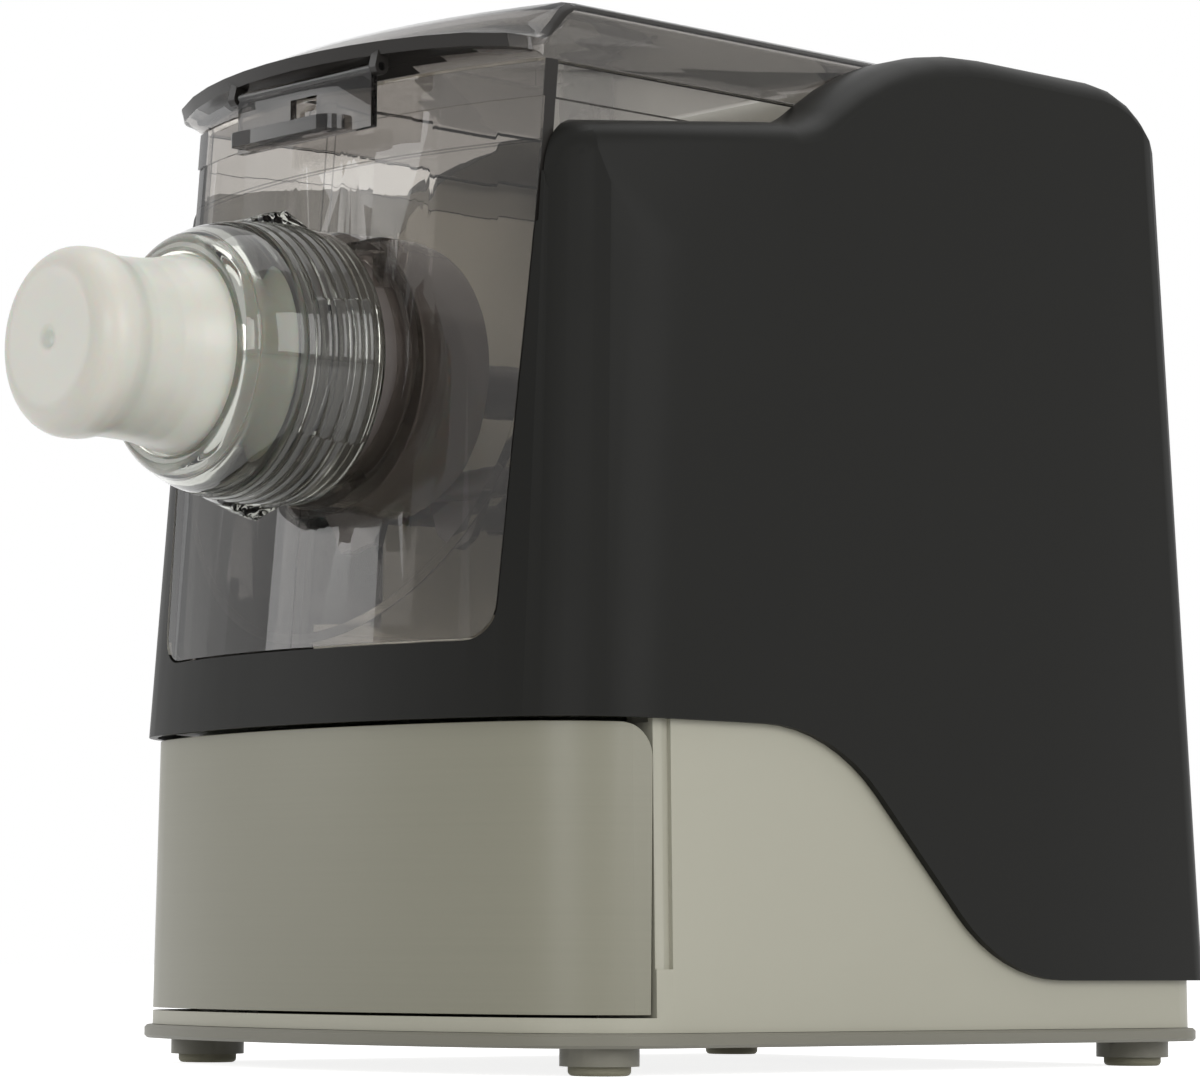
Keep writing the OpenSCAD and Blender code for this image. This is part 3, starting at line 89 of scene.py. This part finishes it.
lens = bpy.data.cameras.new("lens")
lens.sensor_fit = "HORIZONTAL"
lens.sensor_width = SENSOR_WIDTH
lens.lens = FOCAL_LENGTH
lens.clip_start, lens.clip_end = 0.05, 60
camera = bpy.data.objects.new("camera", lens)
bpy.context.scene.collection.objects.link(camera)
camera.matrix_world = Matrix.Translation(CAMERA_PLACE) @ turn(ROUND, "Z") @ turn(TILT, "X") @ turn(ROLL, "Z")
bpy.context.scene.camera = camera
bpy.context.scene.view_settings.view_transform = "Standard"
print("camera", [round(v, 3) for v in camera.location])

# %% [markdown]
# ## The studio
# A white sweep and large soft lamps are what such a machine is pictured in. The world is one even pale light.
# For rays that come from the camera, from gloss or from clear plastic it is pure white, so that the
# background is white and clear parts show it, while the light on the machine stays at a plain level.

# %% White surroundings
def node_of(tree, kind, **values):
    """A new shader node, with plain values set on its inputs by name."""
    made = tree.nodes.new("ShaderNode" + kind)
    for name, value in values.items():
        made.inputs[name.replace("_", " ")].default_value = value
    return made


def worked_out(tree, operation, *inputs):
    """A Math node's result. Each input is another node's output or a plain number."""
    made = tree.nodes.new("ShaderNodeMath")
    made.operation = operation
    for socket, given in zip(made.inputs, inputs):
        if isinstance(given, (int, float)):
            socket.default_value = given
        else:
            tree.links.new(given, socket)
    return made.outputs[0]


def joined(tree, kind, *inputs):
    """A shader that mixes or adds the given outputs, in the order of its sockets."""
    made = node_of(tree, kind)
    for socket, given in zip(made.inputs, inputs):
        tree.links.new(given, socket)
    return made.outputs[0]


def seen_directly(tree):
    """1 for rays from the camera, from gloss and through clear plastic, and 0 for light on rough surfaces."""
    path = node_of(tree, "LightPath")
    either = worked_out(tree, "MAXIMUM", path.outputs["Is Camera Ray"], path.outputs["Is Glossy Ray"])
    return worked_out(tree, "MAXIMUM", either, path.outputs["Is Transmission Ray"])


EVEN_LIGHT, WHITE = 0.50, 1.0
world = bpy.data.worlds.new("studio")
bpy.context.scene.world = world
world.use_nodes = True
tree = world.node_tree
tree.nodes.clear()
even = node_of(tree, "Background", Color=(1, 1, 1, 1), Strength=EVEN_LIGHT)
white = node_of(tree, "Background", Color=(1, 1, 1, 1), Strength=WHITE)
surroundings = joined(tree, "MixShader", seen_directly(tree), even.outputs[0], white.outputs[0])
tree.links.new(surroundings, node_of(tree, "OutputWorld").inputs["Surface"])
print("world", world.name)


# %% Floor and lamps
def mesh_object(name, points, faces):
    """An object whose mesh is given as a table of points and a table of faces with as many corners each."""
    mesh = bpy.data.meshes.new(name)
    faces = np.asarray(faces)
    mesh.from_pydata(np.asarray(points, float).tolist(), [], faces.tolist())
    mesh.update()
    obj = bpy.data.objects.new(name, mesh)
    bpy.context.scene.collection.objects.link(obj)
    return obj


FLOOR_REACH, FLOOR_GLOW = 9, 0.84
corners = FLOOR_REACH * np.array([[-1, -1, 0], [1, -1, 0], [1, 1, 0], [-1, 1, 0]])
floor = mesh_object("floor", corners, [[0, 1, 2, 3]])
paper = bpy.data.materials.new("floor_paper")
paper.use_nodes = True
tree = paper.node_tree
tree.nodes.clear()
matt = node_of(tree, "BsdfDiffuse", Color=(0.80, 0.80, 0.80, 1))
glow = node_of(tree, "Emission", Color=(1, 1, 1, 1))
tree.links.new(worked_out(tree, "MULTIPLY", seen_directly(tree), FLOOR_GLOW), glow.inputs["Strength"])
surface = joined(tree, "AddShader", matt.outputs[0], glow.outputs[0])
tree.links.new(surface, node_of(tree, "OutputMaterial").inputs["Surface"])
floor.data.materials.append(paper)


def softbox(name, place, target, size, power):
    """A square lamp that faces a point. Its light falls off with distance as a real softbox's does."""
    data = bpy.data.lights.new(name, "AREA")
    data.shape = "SQUARE"
    data.size = size
    data.energy = power
    lamp = bpy.data.objects.new(name, data)
    bpy.context.scene.collection.objects.link(lamp)
    facing = Vector(np.subtract(target, place)).to_track_quat("-Z", "Y")
    lamp.matrix_world = Matrix.Translation(place) @ facing.to_matrix().to_4x4()


softbox("side", (1.95, 0.2, 0.8), (0, 0, 0.15), 1.1, 13)
softbox("through", (1.35, -1.6, 0.7), (0, 0, 0.2), 0.8, 8)
softbox("front", (-1.6, -1.6, 0.8), (0, 0, 0.15), 1.0, 7)
softbox("top", (0.0, 0.2, 2.0), (0, 0, 0.15), 1.4, 7)
print("4 softboxes")

# %% [markdown]
# ## Finishes
# Moulded plastic is never one flat colour. The mould is spark-eroded, which leaves a fine grain; the pigment
# is slightly uneven; and handling polishes some places more than others. Each finish is built from the same
# few steps: a texture read from the object's own coordinates, a range for the roughness, a range between two
# near tones, and a height for the relief.

# %% Helpers for finishes
def srgb(red, green, blue):
    """Values from 0 to 255, as a paint program shows them, turned into the linear values of shading."""
    c = np.array([red, green, blue]) / 255
    return tuple(float(v) for v in np.where(c <= 0.04045, c / 12.92, ((c + 0.055) / 1.055) ** 2.4))


def finish(name, colour, **sockets):
    """A Principled material whose even values are set on the shader's own sockets."""
    made = bpy.data.materials.new(name)
    made.use_nodes = True
    shader = made.node_tree.nodes["Principled BSDF"]
    shader.inputs["Base Color"].default_value = (*colour, 1)
    for socket, value in sockets.items():
        shader.inputs[socket.replace("_", " ")].default_value = value
    return made


def noise(made, stretch=(1, 1, 1), **values):
    """A noise texture laid out in the object's own metres. Stretch makes it finer along an axis."""
    tree = made.node_tree
    place = tree.nodes.new("ShaderNodeTexCoord")
    lay = node_of(tree, "Mapping", Scale=stretch)
    tree.links.new(place.outputs["Object"], lay.inputs["Vector"])
    texture = node_of(tree, "TexNoise", **values)
    tree.links.new(lay.outputs[0], texture.inputs["Vector"])
    return texture.outputs["Fac"]


def ranged(made, source, low, high, start=0.3, end=0.7):
    """The part of a texture between start and end, spread from low to high."""
    spread = node_of(made.node_tree, "MapRange", From_Min=start, From_Max=end, To_Min=low, To_Max=high)
    made.node_tree.links.new(source, spread.inputs["Value"])
    return spread.outputs[0]


def into(made, source, socket):
    """Links a source to one of the shader's sockets."""
    shader = made.node_tree.nodes["Principled BSDF"]
    made.node_tree.links.new(source, shader.inputs[socket])


def tones(made, source, dark, light):
    """Colour that wanders between two near tones with a texture."""
    mix = made.node_tree.nodes.new("ShaderNodeMix")
    mix.data_type = "RGBA"
    sockets = [s for s in mix.inputs if s.type == "RGBA"]
    sockets[0].default_value, sockets[1].default_value = (*dark, 1), (*light, 1)
    made.node_tree.links.new(source, mix.inputs[0])
    into(made, next(s for s in mix.outputs if s.type == "RGBA"), "Base Color")


def relief(made, source, height):
    """Bumps from a texture, with their height in metres."""
    bump = node_of(made.node_tree, "Bump", Strength=1.0, Distance=height)
    made.node_tree.links.new(source, bump.inputs["Height"])
    into(made, bump.outputs[0], "Normal")


def shade(colour, share):
    """A colour made darker or lighter by a share."""
    return tuple(v * share for v in colour)


print("middle grey in linear light", round(srgb(128, 128, 128)[0], 3))


# %% Moulded, brushed and metal finishes
def edge_polish_and_highlight(made, source, share):
    """Adds a share of the edges' sharpness to a texture. In the roughness it gives the gloss where hands
    polish; in the tone it is a painted highlight along the edges.
    """
    surface = made.node_tree.nodes.new("ShaderNodeNewGeometry")
    edge = ranged(made, surface.outputs["Pointiness"], 0.0, share, 0.51, 0.60)
    return worked_out(made.node_tree, "ADD", source, edge)


def moulded(name, colour, rough, grain=3200, height=0.000012, drift=0.045, **sockets):
    """Opaque plastic from a spark-eroded mould: fine grain, slow drift of gloss and tone, polished edges, and
    a painted highlight that lightens the edges' tone.
    """
    made = finish(name, colour, **sockets)
    fine = noise(made, Scale=grain, Detail=2.0)
    broad_with_edges = edge_polish_and_highlight(made, noise(made, Scale=9.0, Detail=3.0), 0.35)
    # the tone follows the edge mask too: a painted highlight along every edge
    tones(made, broad_with_edges, shade(colour, 1 - drift), shade(colour, 1 + drift))
    into(made, ranged(made, broad_with_edges, rough + 0.05, rough - 0.05), "Roughness")
    relief(made, fine, height)
    return made


def brushed(name, colour, rough):
    """Lacquered plastic with faint level lines: a texture that is 150 times finer up than along."""
    made = finish(name, colour)
    lines = noise(made, stretch=(0.6, 0.6, 90), Scale=14.0, Detail=4.0)
    broad_with_edges = edge_polish_and_highlight(made, noise(made, Scale=7.0, Detail=2.0), 0.25)
    tones(made, lines, shade(colour, 0.965), shade(colour, 1.03))
    into(made, ranged(made, broad_with_edges, rough + 0.05, rough - 0.05), "Roughness")
    relief(made, lines, 0.000008)
    return made


def metal(name, colour, rough, stretch=(60, 1, 60)):
    """Turned or drawn metal, with fine lines across it."""
    made = finish(name, colour, Metallic=1.0)
    lines = noise(made, stretch=stretch, Scale=40.0, Detail=4.0)
    tones(made, lines, shade(colour, 0.86), shade(colour, 1.06))
    into(made, ranged(made, lines, rough - 0.08, rough + 0.12), "Roughness")
    relief(made, lines, 0.00001)
    return made


# %% Clear plastic
SMOKE_TINT = (0.16, 0.13, 0.11, 1)


def clear(name, colour, rough=0.012, ior=1.49, waves=0.000002, depth=0.0, lamp=0.8, **sockets):
    """Clear plastic: nearly smooth, with slow waves from the mould's flow and a faint haze from washing.
    Lamp is the share of a lamp's light that it lets through. Depth is the strength of its tint for each
    metre, so that thick rims and walls seen along their length are darker than thin ones."""
    made = finish(name, colour, Transmission_Weight=1.0, IOR=ior, **sockets)
    slow = noise(made, Scale=26.0, Detail=1.0)
    haze = noise(made, Scale=160.0, Detail=5.0)
    into(made, ranged(made, haze, rough * 0.4, rough * 2.0), "Roughness")
    tones(made, slow, shade(colour, 0.97), shade(colour, 1.03))
    relief(made, slow, waves)
    tree = made.node_tree
    out = tree.nodes["Material Output"]
    path = node_of(tree, "LightPath")
    through = node_of(tree, "BsdfTransparent", Color=(lamp, lamp, lamp, 1))
    surface = joined(tree, "MixShader", path.outputs["Is Shadow Ray"],
                     tree.nodes["Principled BSDF"].outputs[0], through.outputs[0])
    tree.links.new(surface, out.inputs["Surface"])
    if depth:
        tint = node_of(tree, "VolumeAbsorption", Color=SMOKE_TINT, Density=depth)
        tree.links.new(tint.outputs[0], out.inputs["Volume"])
    return made


# %% The finishes
finishes = {
    "plate_cream": moulded("plate_cream", srgb(116, 114, 102), 0.46),
    "base_cream": moulded("base_cream", srgb(166, 164, 149), 0.44),
    "drawer_grey": brushed("drawer_grey", srgb(132, 130, 114), 0.36),
    "inner_grey": moulded("inner_grey", srgb(240, 237, 228), 0.5, height=0.000002),
    "tray_grey": moulded("tray_grey", srgb(196, 195, 188), 0.45),
    "housing_black": moulded("housing_black", srgb(27, 27, 25), 0.46, Specular_IOR_Level=0.11),
    "inlet_black": moulded("inlet_black", srgb(28, 28, 28), 0.5),
    "panel_black": moulded("panel_black", srgb(20, 20, 21), 0.26, height=0.000003, Specular_IOR_Level=0.3),
    "button_grey": moulded("button_grey", srgb(190, 190, 186), 0.35),
    "board_green": moulded("board_green", srgb(28, 92, 54), 0.35),
    "pad_rubber": moulded("pad_rubber", srgb(134, 131, 112), 0.7, grain=1800, height=0.00003),
    "seal_rubber": moulded("seal_rubber", srgb(36, 36, 36), 0.65, grain=1800),
    "seal_pale": moulded("seal_pale", srgb(206, 206, 202), 0.5, Subsurface_Weight=0.2,
                         Subsurface_Scale=0.002),
    "fan_black": moulded("fan_black", srgb(34, 34, 34), 0.5),
    "screw_dark": moulded("screw_dark", srgb(62, 57, 57), 0.32),
    "gear_nylon": moulded("gear_nylon", srgb(214, 211, 196), 0.5, Subsurface_Weight=0.15,
                          Subsurface_Scale=0.004),
    "steel": metal("steel", srgb(150, 150, 152), 0.34),
    "gear_steel": metal("gear_steel", srgb(176, 176, 178), 0.32),
    "contact_brass": metal("contact_brass", srgb(206, 172, 92), 0.26),
    "bearing_bronze": metal("bearing_bronze", srgb(178, 134, 84), 0.45),
    "motor_can": metal("motor_can", srgb(150, 151, 154), 0.38, stretch=(60, 60, 1)),
    "tub_smoke": clear("tub_smoke", srgb(216, 214, 211), ior=1.2, depth=165.0, lamp=1.0,
                       Coat_Weight=0.5, Coat_Roughness=0.03),
    "barrel_smoke": moulded("barrel_smoke", srgb(104, 98, 95), 0.22, height=0.000003, Coat_Weight=0.3),
    "lens_clear": clear("lens_clear", srgb(120, 130, 140), 0.02),
    "nut_clear": clear("nut_clear", srgb(166, 167, 160), 0.008, ior=1.5, waves=0.000004, lamp=0.9),
    "die_white": moulded("die_white", srgb(210, 209, 199), 0.34, grain=900, height=0.000004, drift=0.012,
                         Subsurface_Weight=0.6, Subsurface_Scale=0.006),
}
slot_of = {part["node"]: part["material_slot"] for part in frame["record"]["subparts"]}
print(len(finishes), "finishes;", len(slot_of), "nodes with a slot")

# %% [markdown]
# ## Smoky walls
# The lid, the tub, the panel and the latch are one smoky plastic, but their walls differ in thickness, and
# the same tint looks darker in a thick wall. So each has a finish of its own, with its own depth of tint.
# Their bending of light is kept low, because thin walls hardly shift what stands behind them, and a clear
# coat gives the gloss. The panel also carries two fine lines where its mould's halves met. The dark line
# that smoky plastic shows along a rounded edge is painted shade: an opaque dark finish on the edge.

# %% Smoky walls
walls = {
    "mixing_tub": clear("tub_wall", srgb(246, 245, 242), 0.08, ior=1.05, depth=8.0, lamp=1.0,
                        Coat_Weight=0.2, Coat_Roughness=0.05),
    "front_panel": clear("panel_wall", srgb(209, 205, 200), ior=1.06, depth=60.0, lamp=1.0,
                         Coat_Weight=0.8, Coat_Roughness=0.02),
    "lid_latch": clear("latch_wall", srgb(170, 167, 164), ior=1.2, depth=220.0, lamp=1.0,
                       Coat_Weight=0.5, Coat_Roughness=0.03),
}
# painted shade: an opaque dark finish that draws each rounded edge of smoky plastic as a dark line
dark_edge = moulded("dark_edge", srgb(42, 40, 38), 0.22, height=0.000002, Specular_IOR_Level=0.2)
# the chassis's rim round the tub is a shade darker than its lower walls
surround = moulded("surround_grey", srgb(186, 184, 176), 0.5, height=0.000002)
print(len(walls), "smoky walls")


# %% Mould lines in the panel
def mould_lines(made, *lines):
    """Thin dark lines, each given by its axis, its place and its half width in metres: the tint is kept where
    |coordinate - place| > half width for every line, and falls to about a third on a line."""
    tree = made.node_tree
    place = tree.nodes.new("ShaderNodeTexCoord")
    parts = tree.nodes.new("ShaderNodeSeparateXYZ")
    tree.links.new(place.outputs["Object"], parts.inputs[0])
    kept = 1.0
    for axis, at, half in lines:
        away = worked_out(tree, "ABSOLUTE", worked_out(tree, "SUBTRACT", parts.outputs[axis], at))
        kept = worked_out(tree, "MULTIPLY", kept, ranged(made, away, 0.35, 1.0, half * 0.6, half))
    colour = tree.nodes["Principled BSDF"].inputs["Base Color"]
    scaled = tree.nodes.new("ShaderNodeVectorMath")
    scaled.operation = "SCALE"
    tree.links.new(colour.links[0].from_socket, scaled.inputs[0])
    tree.links.new(kept, scaled.inputs["Scale"])
    tree.links.new(scaled.outputs[0], colour)
    print(made.name, len(lines), "lines")


mould_lines(walls["front_panel"], ("X", 0.0, 0.00045), ("Z", 0.2583, 0.0003))

# %% [markdown]
# ## Parts that keep their construction shape
# A construction model's edges are sharp, and a real moulding never has a sharp edge. Most parts can keep
# their shape if a copy of it gets small rounded edges and smooth shading across its curved walls. The copy's
# loose triangles are first joined into whole faces, because a bevel follows edges, and stray edges across a
# flat wall would be bevelled too. On smoky pieces the rounded edges take painted shade, a dark opaque finish.

# %% Rounded copies
EDGE_ANGLE = math.radians(30)


def rounded(node, width):
    """A copy of a node's shape with joined faces, rounded edges and smooth walls, in the node's place. Only
    edges that turn by more than EDGE_ANGLE are rounded."""
    shape = bmesh.new()
    shape.from_mesh(nodes[node].data)
    bmesh.ops.remove_doubles(shape, verts=shape.verts, dist=1e-5)
    bmesh.ops.dissolve_degenerate(shape, edges=shape.edges, dist=1e-5)
    bmesh.ops.dissolve_limit(shape, angle_limit=math.radians(0.6), verts=shape.verts, edges=shape.edges)
    mesh = bpy.data.meshes.new(node + "_moulding")
    shape.to_mesh(mesh)
    shape.free()
    piece = bpy.data.objects.new(node + "_moulding", mesh)
    bpy.context.scene.collection.objects.link(piece)
    mesh.polygons.foreach_set("use_smooth", np.ones(len(mesh.polygons), bool))
    mesh.set_sharp_from_angle(angle=EDGE_ANGLE)
    edge = piece.modifiers.new("rounded_edges", "BEVEL")
    edge.width = width
    edge.segments = 2
    edge.limit_method = "ANGLE"
    edge.angle_limit = EDGE_ANGLE
    edge.harden_normals = True
    edge.use_clamp_overlap = True
    in_place_of(piece, node)
    return piece


def in_place_of(piece, node):
    """Gives a piece the finish, the body and the place of the construction part that it stands for."""
    piece.data.materials.append(walls.get(node, finishes[slot_of[node]]))
    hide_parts(node)
    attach(piece, nodes[node]["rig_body"])


# %% The parts' finishes and edges
for name, node in nodes.items():
    node.data.materials.clear()
    node.data.materials.append(finishes[slot_of[name]])

# edges are 0.4 mm unless a wider one is named here
wider_edges = {"upper_housing": 0.0007, "base_plate": 0.0006, "drawer_front": 0.0006, "lid_latch": 0.0005}
for name in ("upper_housing", "base_housing", "base_plate", "drawer_front", "drawer_tray", "rear_cover",
             "lid", "mixing_tub", "front_panel", "auger", "mixing_paddle", "foot_pads", "lid_latch",
             "inner_frame", "control_panel", "mains_inlet", "start_button", "select_button", "time_button",
             "motor", "lid_hinge_bracket", "gearbox_cover"):
    piece = rounded(name, wider_edges.get(name, 0.0004))
    if slot_of[name] == "tub_smoke":
        # the bevels of smoky pieces get the painted edge shade
        piece.data.materials.append(dark_edge)
        piece.modifiers["rounded_edges"].material = 1
    print(name, len(piece.data.polygons), "faces")

# %% [markdown]
# ## Walls with a second finish
# The black shell is only a skin. The walls that stand round the tub are as pale as the chassis under it, and
# they show through the lid and the panel, so the housing's walls that face the tub take a grey finish.
# Smoky plastic looks darkest where one looks into its edge, and that darkness is painted shade here: the
# panel's sides, the tub's rim, the lid's rounded corners, and the edge and the underside of its visor take
# the dark opaque finish. A second material for chosen faces is enough for both, and the shapes stay as they
# are.

# %% Finish chosen faces
def refinish(name, second, rule):
    """Gives the faces of a moulding for which rule(x, y, z, normal) holds a second finish."""
    mesh = bpy.data.objects[name + "_moulding"].data
    if second.name not in mesh.materials:
        mesh.materials.append(second)
    place = mesh.materials.find(second.name)
    found = [face for face in mesh.polygons if rule(*face.center, face.normal)]
    for face in found:
        face.material_index = place
    print(name, len(found), "faces in", second.name)


# %% Choose the walls and edges
VISOR_DEPTH = 0.0155
tub_low, tub_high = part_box("mixing_tub")
lid_low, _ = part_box("lid")


def faces_tub(x, y, z, n):
    """The housing's walls close behind and beside the tub, whose normals point at it."""
    near = z > tub_low.z and y < tub_high.y + 0.013 and abs(x) < tub_high.x + 0.003
    behind = n.y < -0.7 and y > tub_high.y
    beside = n.x * x < -0.7 * abs(x) and abs(x) > 0.07
    return near and (behind or beside)


def lid_painted_shade_faces(x, y, z, n):
    """The faces that get painted shade: the visor's edge and underside, and the rounded corners between the
    lid's top and its sides.
    """
    visor = n.z < 0.35 and y < lid_low.y + VISOR_DEPTH
    corner = abs(x) > 0.07 and n.z > 0.3 and 0.6 < abs(n.x) < 0.85
    return visor or corner


refinish("upper_housing", surround, faces_tub)
# painted shade on the panel's sides, the tub's rim and the lid's edges
refinish("front_panel", dark_edge, lambda x, y, z, n: abs(n.x) > 0.9 and abs(x) > 0.06)
refinish("mixing_tub", dark_edge, lambda x, y, z, n: n.z > 0.9 and z > tub_high.z - 0.004)
refinish("lid", dark_edge, lid_painted_shade_faces)

# %% [markdown]
# ## Turned parts
# The cap, the ring nut and the barrel are round, so each is a profile carried round the screw's axis. A lathe
# tool in a moulder's workshop makes their mould the same way. The profile is a table of radius and distance
# along the axis. Its corners are softened first, by a curve that starts and ends a set distance from each
# corner, so that gloss runs round an edge instead of stopping at a line.

# %% Profiles
def softened(points, reach, steps, closed=False):
    """Each corner p between neighbours a and c becomes the curve (1-t)^2 s + 2t(1-t) p + t^2 e, where s and e
    lie on the two sides, at most reach and at most 0.45 of the side away from p."""
    points = np.asarray(points, float)
    before, after = np.roll(points, 1, 0), np.roll(points, -1, 0)
    t = np.linspace(0, 1, steps + 1)[:, None]
    rows = []
    for i, (a, p, c) in enumerate(zip(before, points, after)):
        if not closed and i in (0, len(points) - 1):
            rows.append(p[None])
            continue
        legs = [side - p for side in (a, c)]
        sizes = [np.linalg.norm(leg) for leg in legs]
        s, e = (p + leg * min(reach, 0.45 * size) / size for leg, size in zip(legs, sizes))
        rows.append((1 - t) ** 2 * s + 2 * t * (1 - t) * p + t ** 2 * e)
    return np.vstack(rows)


def refined(points, step, closed=False):
    """The same line with points no further apart than a step."""
    points = np.asarray(points, float)
    ends = np.roll(points, -1, 0) if closed else points[1:]
    starts = points if closed else points[:-1]
    rows = []
    for a, b in zip(starts, ends):
        count = max(1, int(np.ceil(np.linalg.norm(b - a) / step)))
        rows.append(a + (b - a) * np.linspace(0, 1, count, endpoint=False)[:, None])
    return np.vstack(rows + ([] if closed else [points[-1:]]))


def around(profile, steps):
    """Equal tables of radius and place for a plain turned profile, with its angles."""
    angles = np.linspace(0, 2 * np.pi, steps, endpoint=False)
    return np.repeat(profile[:, :1], steps, 1), np.repeat(profile[:, 1:], steps, 1), angles


# %% Turned surfaces
MM = 0.001
AXIS_HEIGHT = sum(corner.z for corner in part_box("die_cap")) / 2
print("the screw's axis is", round(AXIS_HEIGHT / MM, 1), "mm up")


def turned(node, radius, along, angles, closed):
    """The surface (r cos a, y, r sin a) about the screw's axis, where r and y are tables with a row for each
    step of the profile and a column for each angle a. An open profile starts and ends on the axis."""
    rows, columns = radius.shape
    points = np.stack([radius * np.cos(angles), along, AXIS_HEIGHT + radius * np.sin(angles)], axis=-1)
    i = np.arange(rows if closed else rows - 1)[:, None]
    j = np.arange(columns)[None, :]
    corners = [(i, j), (i, j + 1), (i + 1, j + 1), (i + 1, j)]
    faces = np.stack([(a % rows) * columns + b % columns for a, b in corners], axis=-1).reshape(-1, 4)
    centres, facing = points.reshape(-1, 3)[faces].mean(1), points.reshape(-1, 3)[faces]
    normals = np.cross(facing[:, 2] - facing[:, 0], facing[:, 3] - facing[:, 1])
    if (normals * (centres - [0, 0, AXIS_HEIGHT])).sum() < 0:
        faces = faces[:, ::-1]
    piece = mesh_object(node + "_turned", points.reshape(-1, 3), faces)
    shape = bmesh.new()
    shape.from_mesh(piece.data)
    bmesh.ops.remove_doubles(shape, verts=shape.verts, dist=1e-7)
    bmesh.ops.dissolve_degenerate(shape, edges=shape.edges, dist=1e-8)
    shape.to_mesh(piece.data)
    shape.free()
    piece.data.polygons.foreach_set("use_smooth", np.ones(len(piece.data.polygons), bool))
    piece.data.set_sharp_from_angle(angle=math.radians(50))
    print(piece.name, len(piece.data.polygons), "faces")
    in_place_of(piece, node)


# %% [markdown]
# ## The die cap
# The cap is a milky white moulding with a satin face. Its nose has a broad rounded head, draws in slightly to
# a waist, and widens again where the nut holds it. A small dimple marks the middle of its face.

# %% The die cap
cap_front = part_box("die_cap")[0].y / MM
cap_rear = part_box("die_cap")[1].y / MM
nut_front, nut_rear = (corner.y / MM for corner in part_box("locking_nut"))
face = [(0, 1.7), (1.0, 1.6), (1.9, 1.1), (2.7, 0.35), (4.0, 0.05), (10, 0), (18.0, 0)]
head = [(18.0 + 8.5 * math.sin(a), 8.5 - 8.5 * math.cos(a)) for a in np.radians(np.arange(12, 91, 13))]
waist = [(26.5, 12), (26.1, 14.2), (25.35, 17), (25.15, 20), (25.4, 28), (26.1, 34)]
flange = [(27.4, nut_front - 3 - cap_front), (28.0, nut_front - cap_front),
          (28.0, nut_front + 4.9 - cap_front), (33.8, nut_front + 4.9 - cap_front),
          (33.8, cap_rear - cap_front), (24, cap_rear - cap_front)]
hollow = [(24, nut_front + 2.9 - cap_front), (22.5, nut_front - 7.1 - cap_front), (22.5, 10), (16.5, 4.5),
          (0, 4.5)]
profile = softened(face + head + waist + flange + hollow, 0.7, 4) + [0, cap_front]
profile[0, 0] = profile[-1, 0] = 0
turned("die_cap", *around(refined(profile, 1.2) * MM, 160), closed=False)

# %% [markdown]
# ## The ring nut
# The nut is thick clear plastic: a smooth bowl at its front and fine ridges round its rear half, with three
# raised grips that carry the ridges too. Each grip rises over a few degrees, like a step with rounded edges.
# Inside, a real thread winds towards the front, one turn every three millimetres.

# %% Steps and threads
def smooth_step(value, start, end):
    """0 before start, 1 after end, and 3u^2 - 2u^3 between them."""
    u = np.clip((value - start) / (end - start), 0, 1)
    return u * u * (3 - 2 * u)


def thread(angles, along, start, end, pitch, depth):
    """A ridge that moves by one pitch along the axis for each turn, depth x (0.5 + 0.5 cos)^0.6 high, and
    fades out within a millimetre of its ends."""
    phase = 2 * np.pi * along / pitch - angles
    ridge = (0.5 + 0.5 * np.cos(phase)) ** 0.6
    return depth * ridge * smooth_step(along, start, start + 1) * (1 - smooth_step(along, end - 1, end))


# %% The ring nut's profile
THREAD_PITCH = 3.0
length = nut_rear - nut_front
outside = softened([(28.3, 1.2), (29.3, 0), (32.0, 0), (34.6, 2.6), (35.2, 4.4), (37.4, 8.7), (39.0, 14.6),
                    (40.0, 24), (40.5, 34), (40.5, length)], 2.4, 5)
inside = softened([(40.5, length), (37.9, length), (37.9, 21.2), (34.6, 17.7), (34.2, 4.6), (28.3, 4.6)],
                  0.5, 3)
outer_rows = refined(outside[:-1], 0.4)
r, y, angles = around(np.vstack([outer_rows, refined(inside, 0.5)]), 360)
outer = np.arange(len(r))[:, None] < len(outer_rows)
print("nut", r.shape, "grid")

# %% The nut's ridges, grips and thread
RIDGE_START, RIDGE_PITCH, RIDGE_DEPTH = 15.5, 4.1, 0.75
GRIP_TURN, GRIP_START, GRIP_HEIGHT = 8, 20.0, 3.5
ridges = 0.5 - 0.5 * np.cos(2 * np.pi * (y - RIDGE_START) / RIDGE_PITCH)
amount = smooth_step(y, RIDGE_START, 19) * (1 - smooth_step(y, length - 1.2, length - 0.2))
from_grip = np.abs((np.degrees(angles)[None, :] + GRIP_TURN + 60) % 120 - 60)
grip = 1 - smooth_step(from_grip, 27.6, 29.2)
rise = smooth_step(y, GRIP_START, 38.0) * GRIP_HEIGHT + smooth_step(y, GRIP_START, 22.5) * 0.7
lift = np.where(outer, -RIDGE_DEPTH * ridges * amount * (1 - 0.45 * grip) + grip * rise, 0)
inner_thread = thread(angles[None, :], y, 20.5, length + 3, THREAD_PITCH, -1.35)
cut = np.where(outer | (r < 37.0), 0, inner_thread)
turned("locking_nut", (r + lift + cut) * MM, (y + nut_front) * MM, angles, closed=True)

# %% [markdown]
# ## The barrel
# The barrel is darker smoky plastic. Its neck stands out of the front and carries the outside thread that the
# nut runs on, and its flange closes the hole in the panel from inside.

# %% The barrel
barrel_front, barrel_rear = (corner.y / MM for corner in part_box("extruder_barrel"))
reach = barrel_rear - barrel_front
flange_front = reach - 24
shape = softened([(22.6, 0), (27.6, 0), (27.6, 1.0), (31.4, 1.0), (31.4, 0), (35.2, 0.4),
                  (35.2, flange_front), (40.2, flange_front), (40.2, reach), (35.2, reach),
                  (22.6, reach - 14)], 0.5, 3, closed=True)
r, y, angles = around(refined(shape, 0.6, closed=True), 180)
neck = (r > 35.1) & (r < 35.3)
wound = np.where(neck, thread(angles[None, :], y, 1.5, 20.5, THREAD_PITCH, 0.8), 0)
turned("extruder_barrel", (r + wound) * MM, (y + barrel_front) * MM, angles, closed=True)
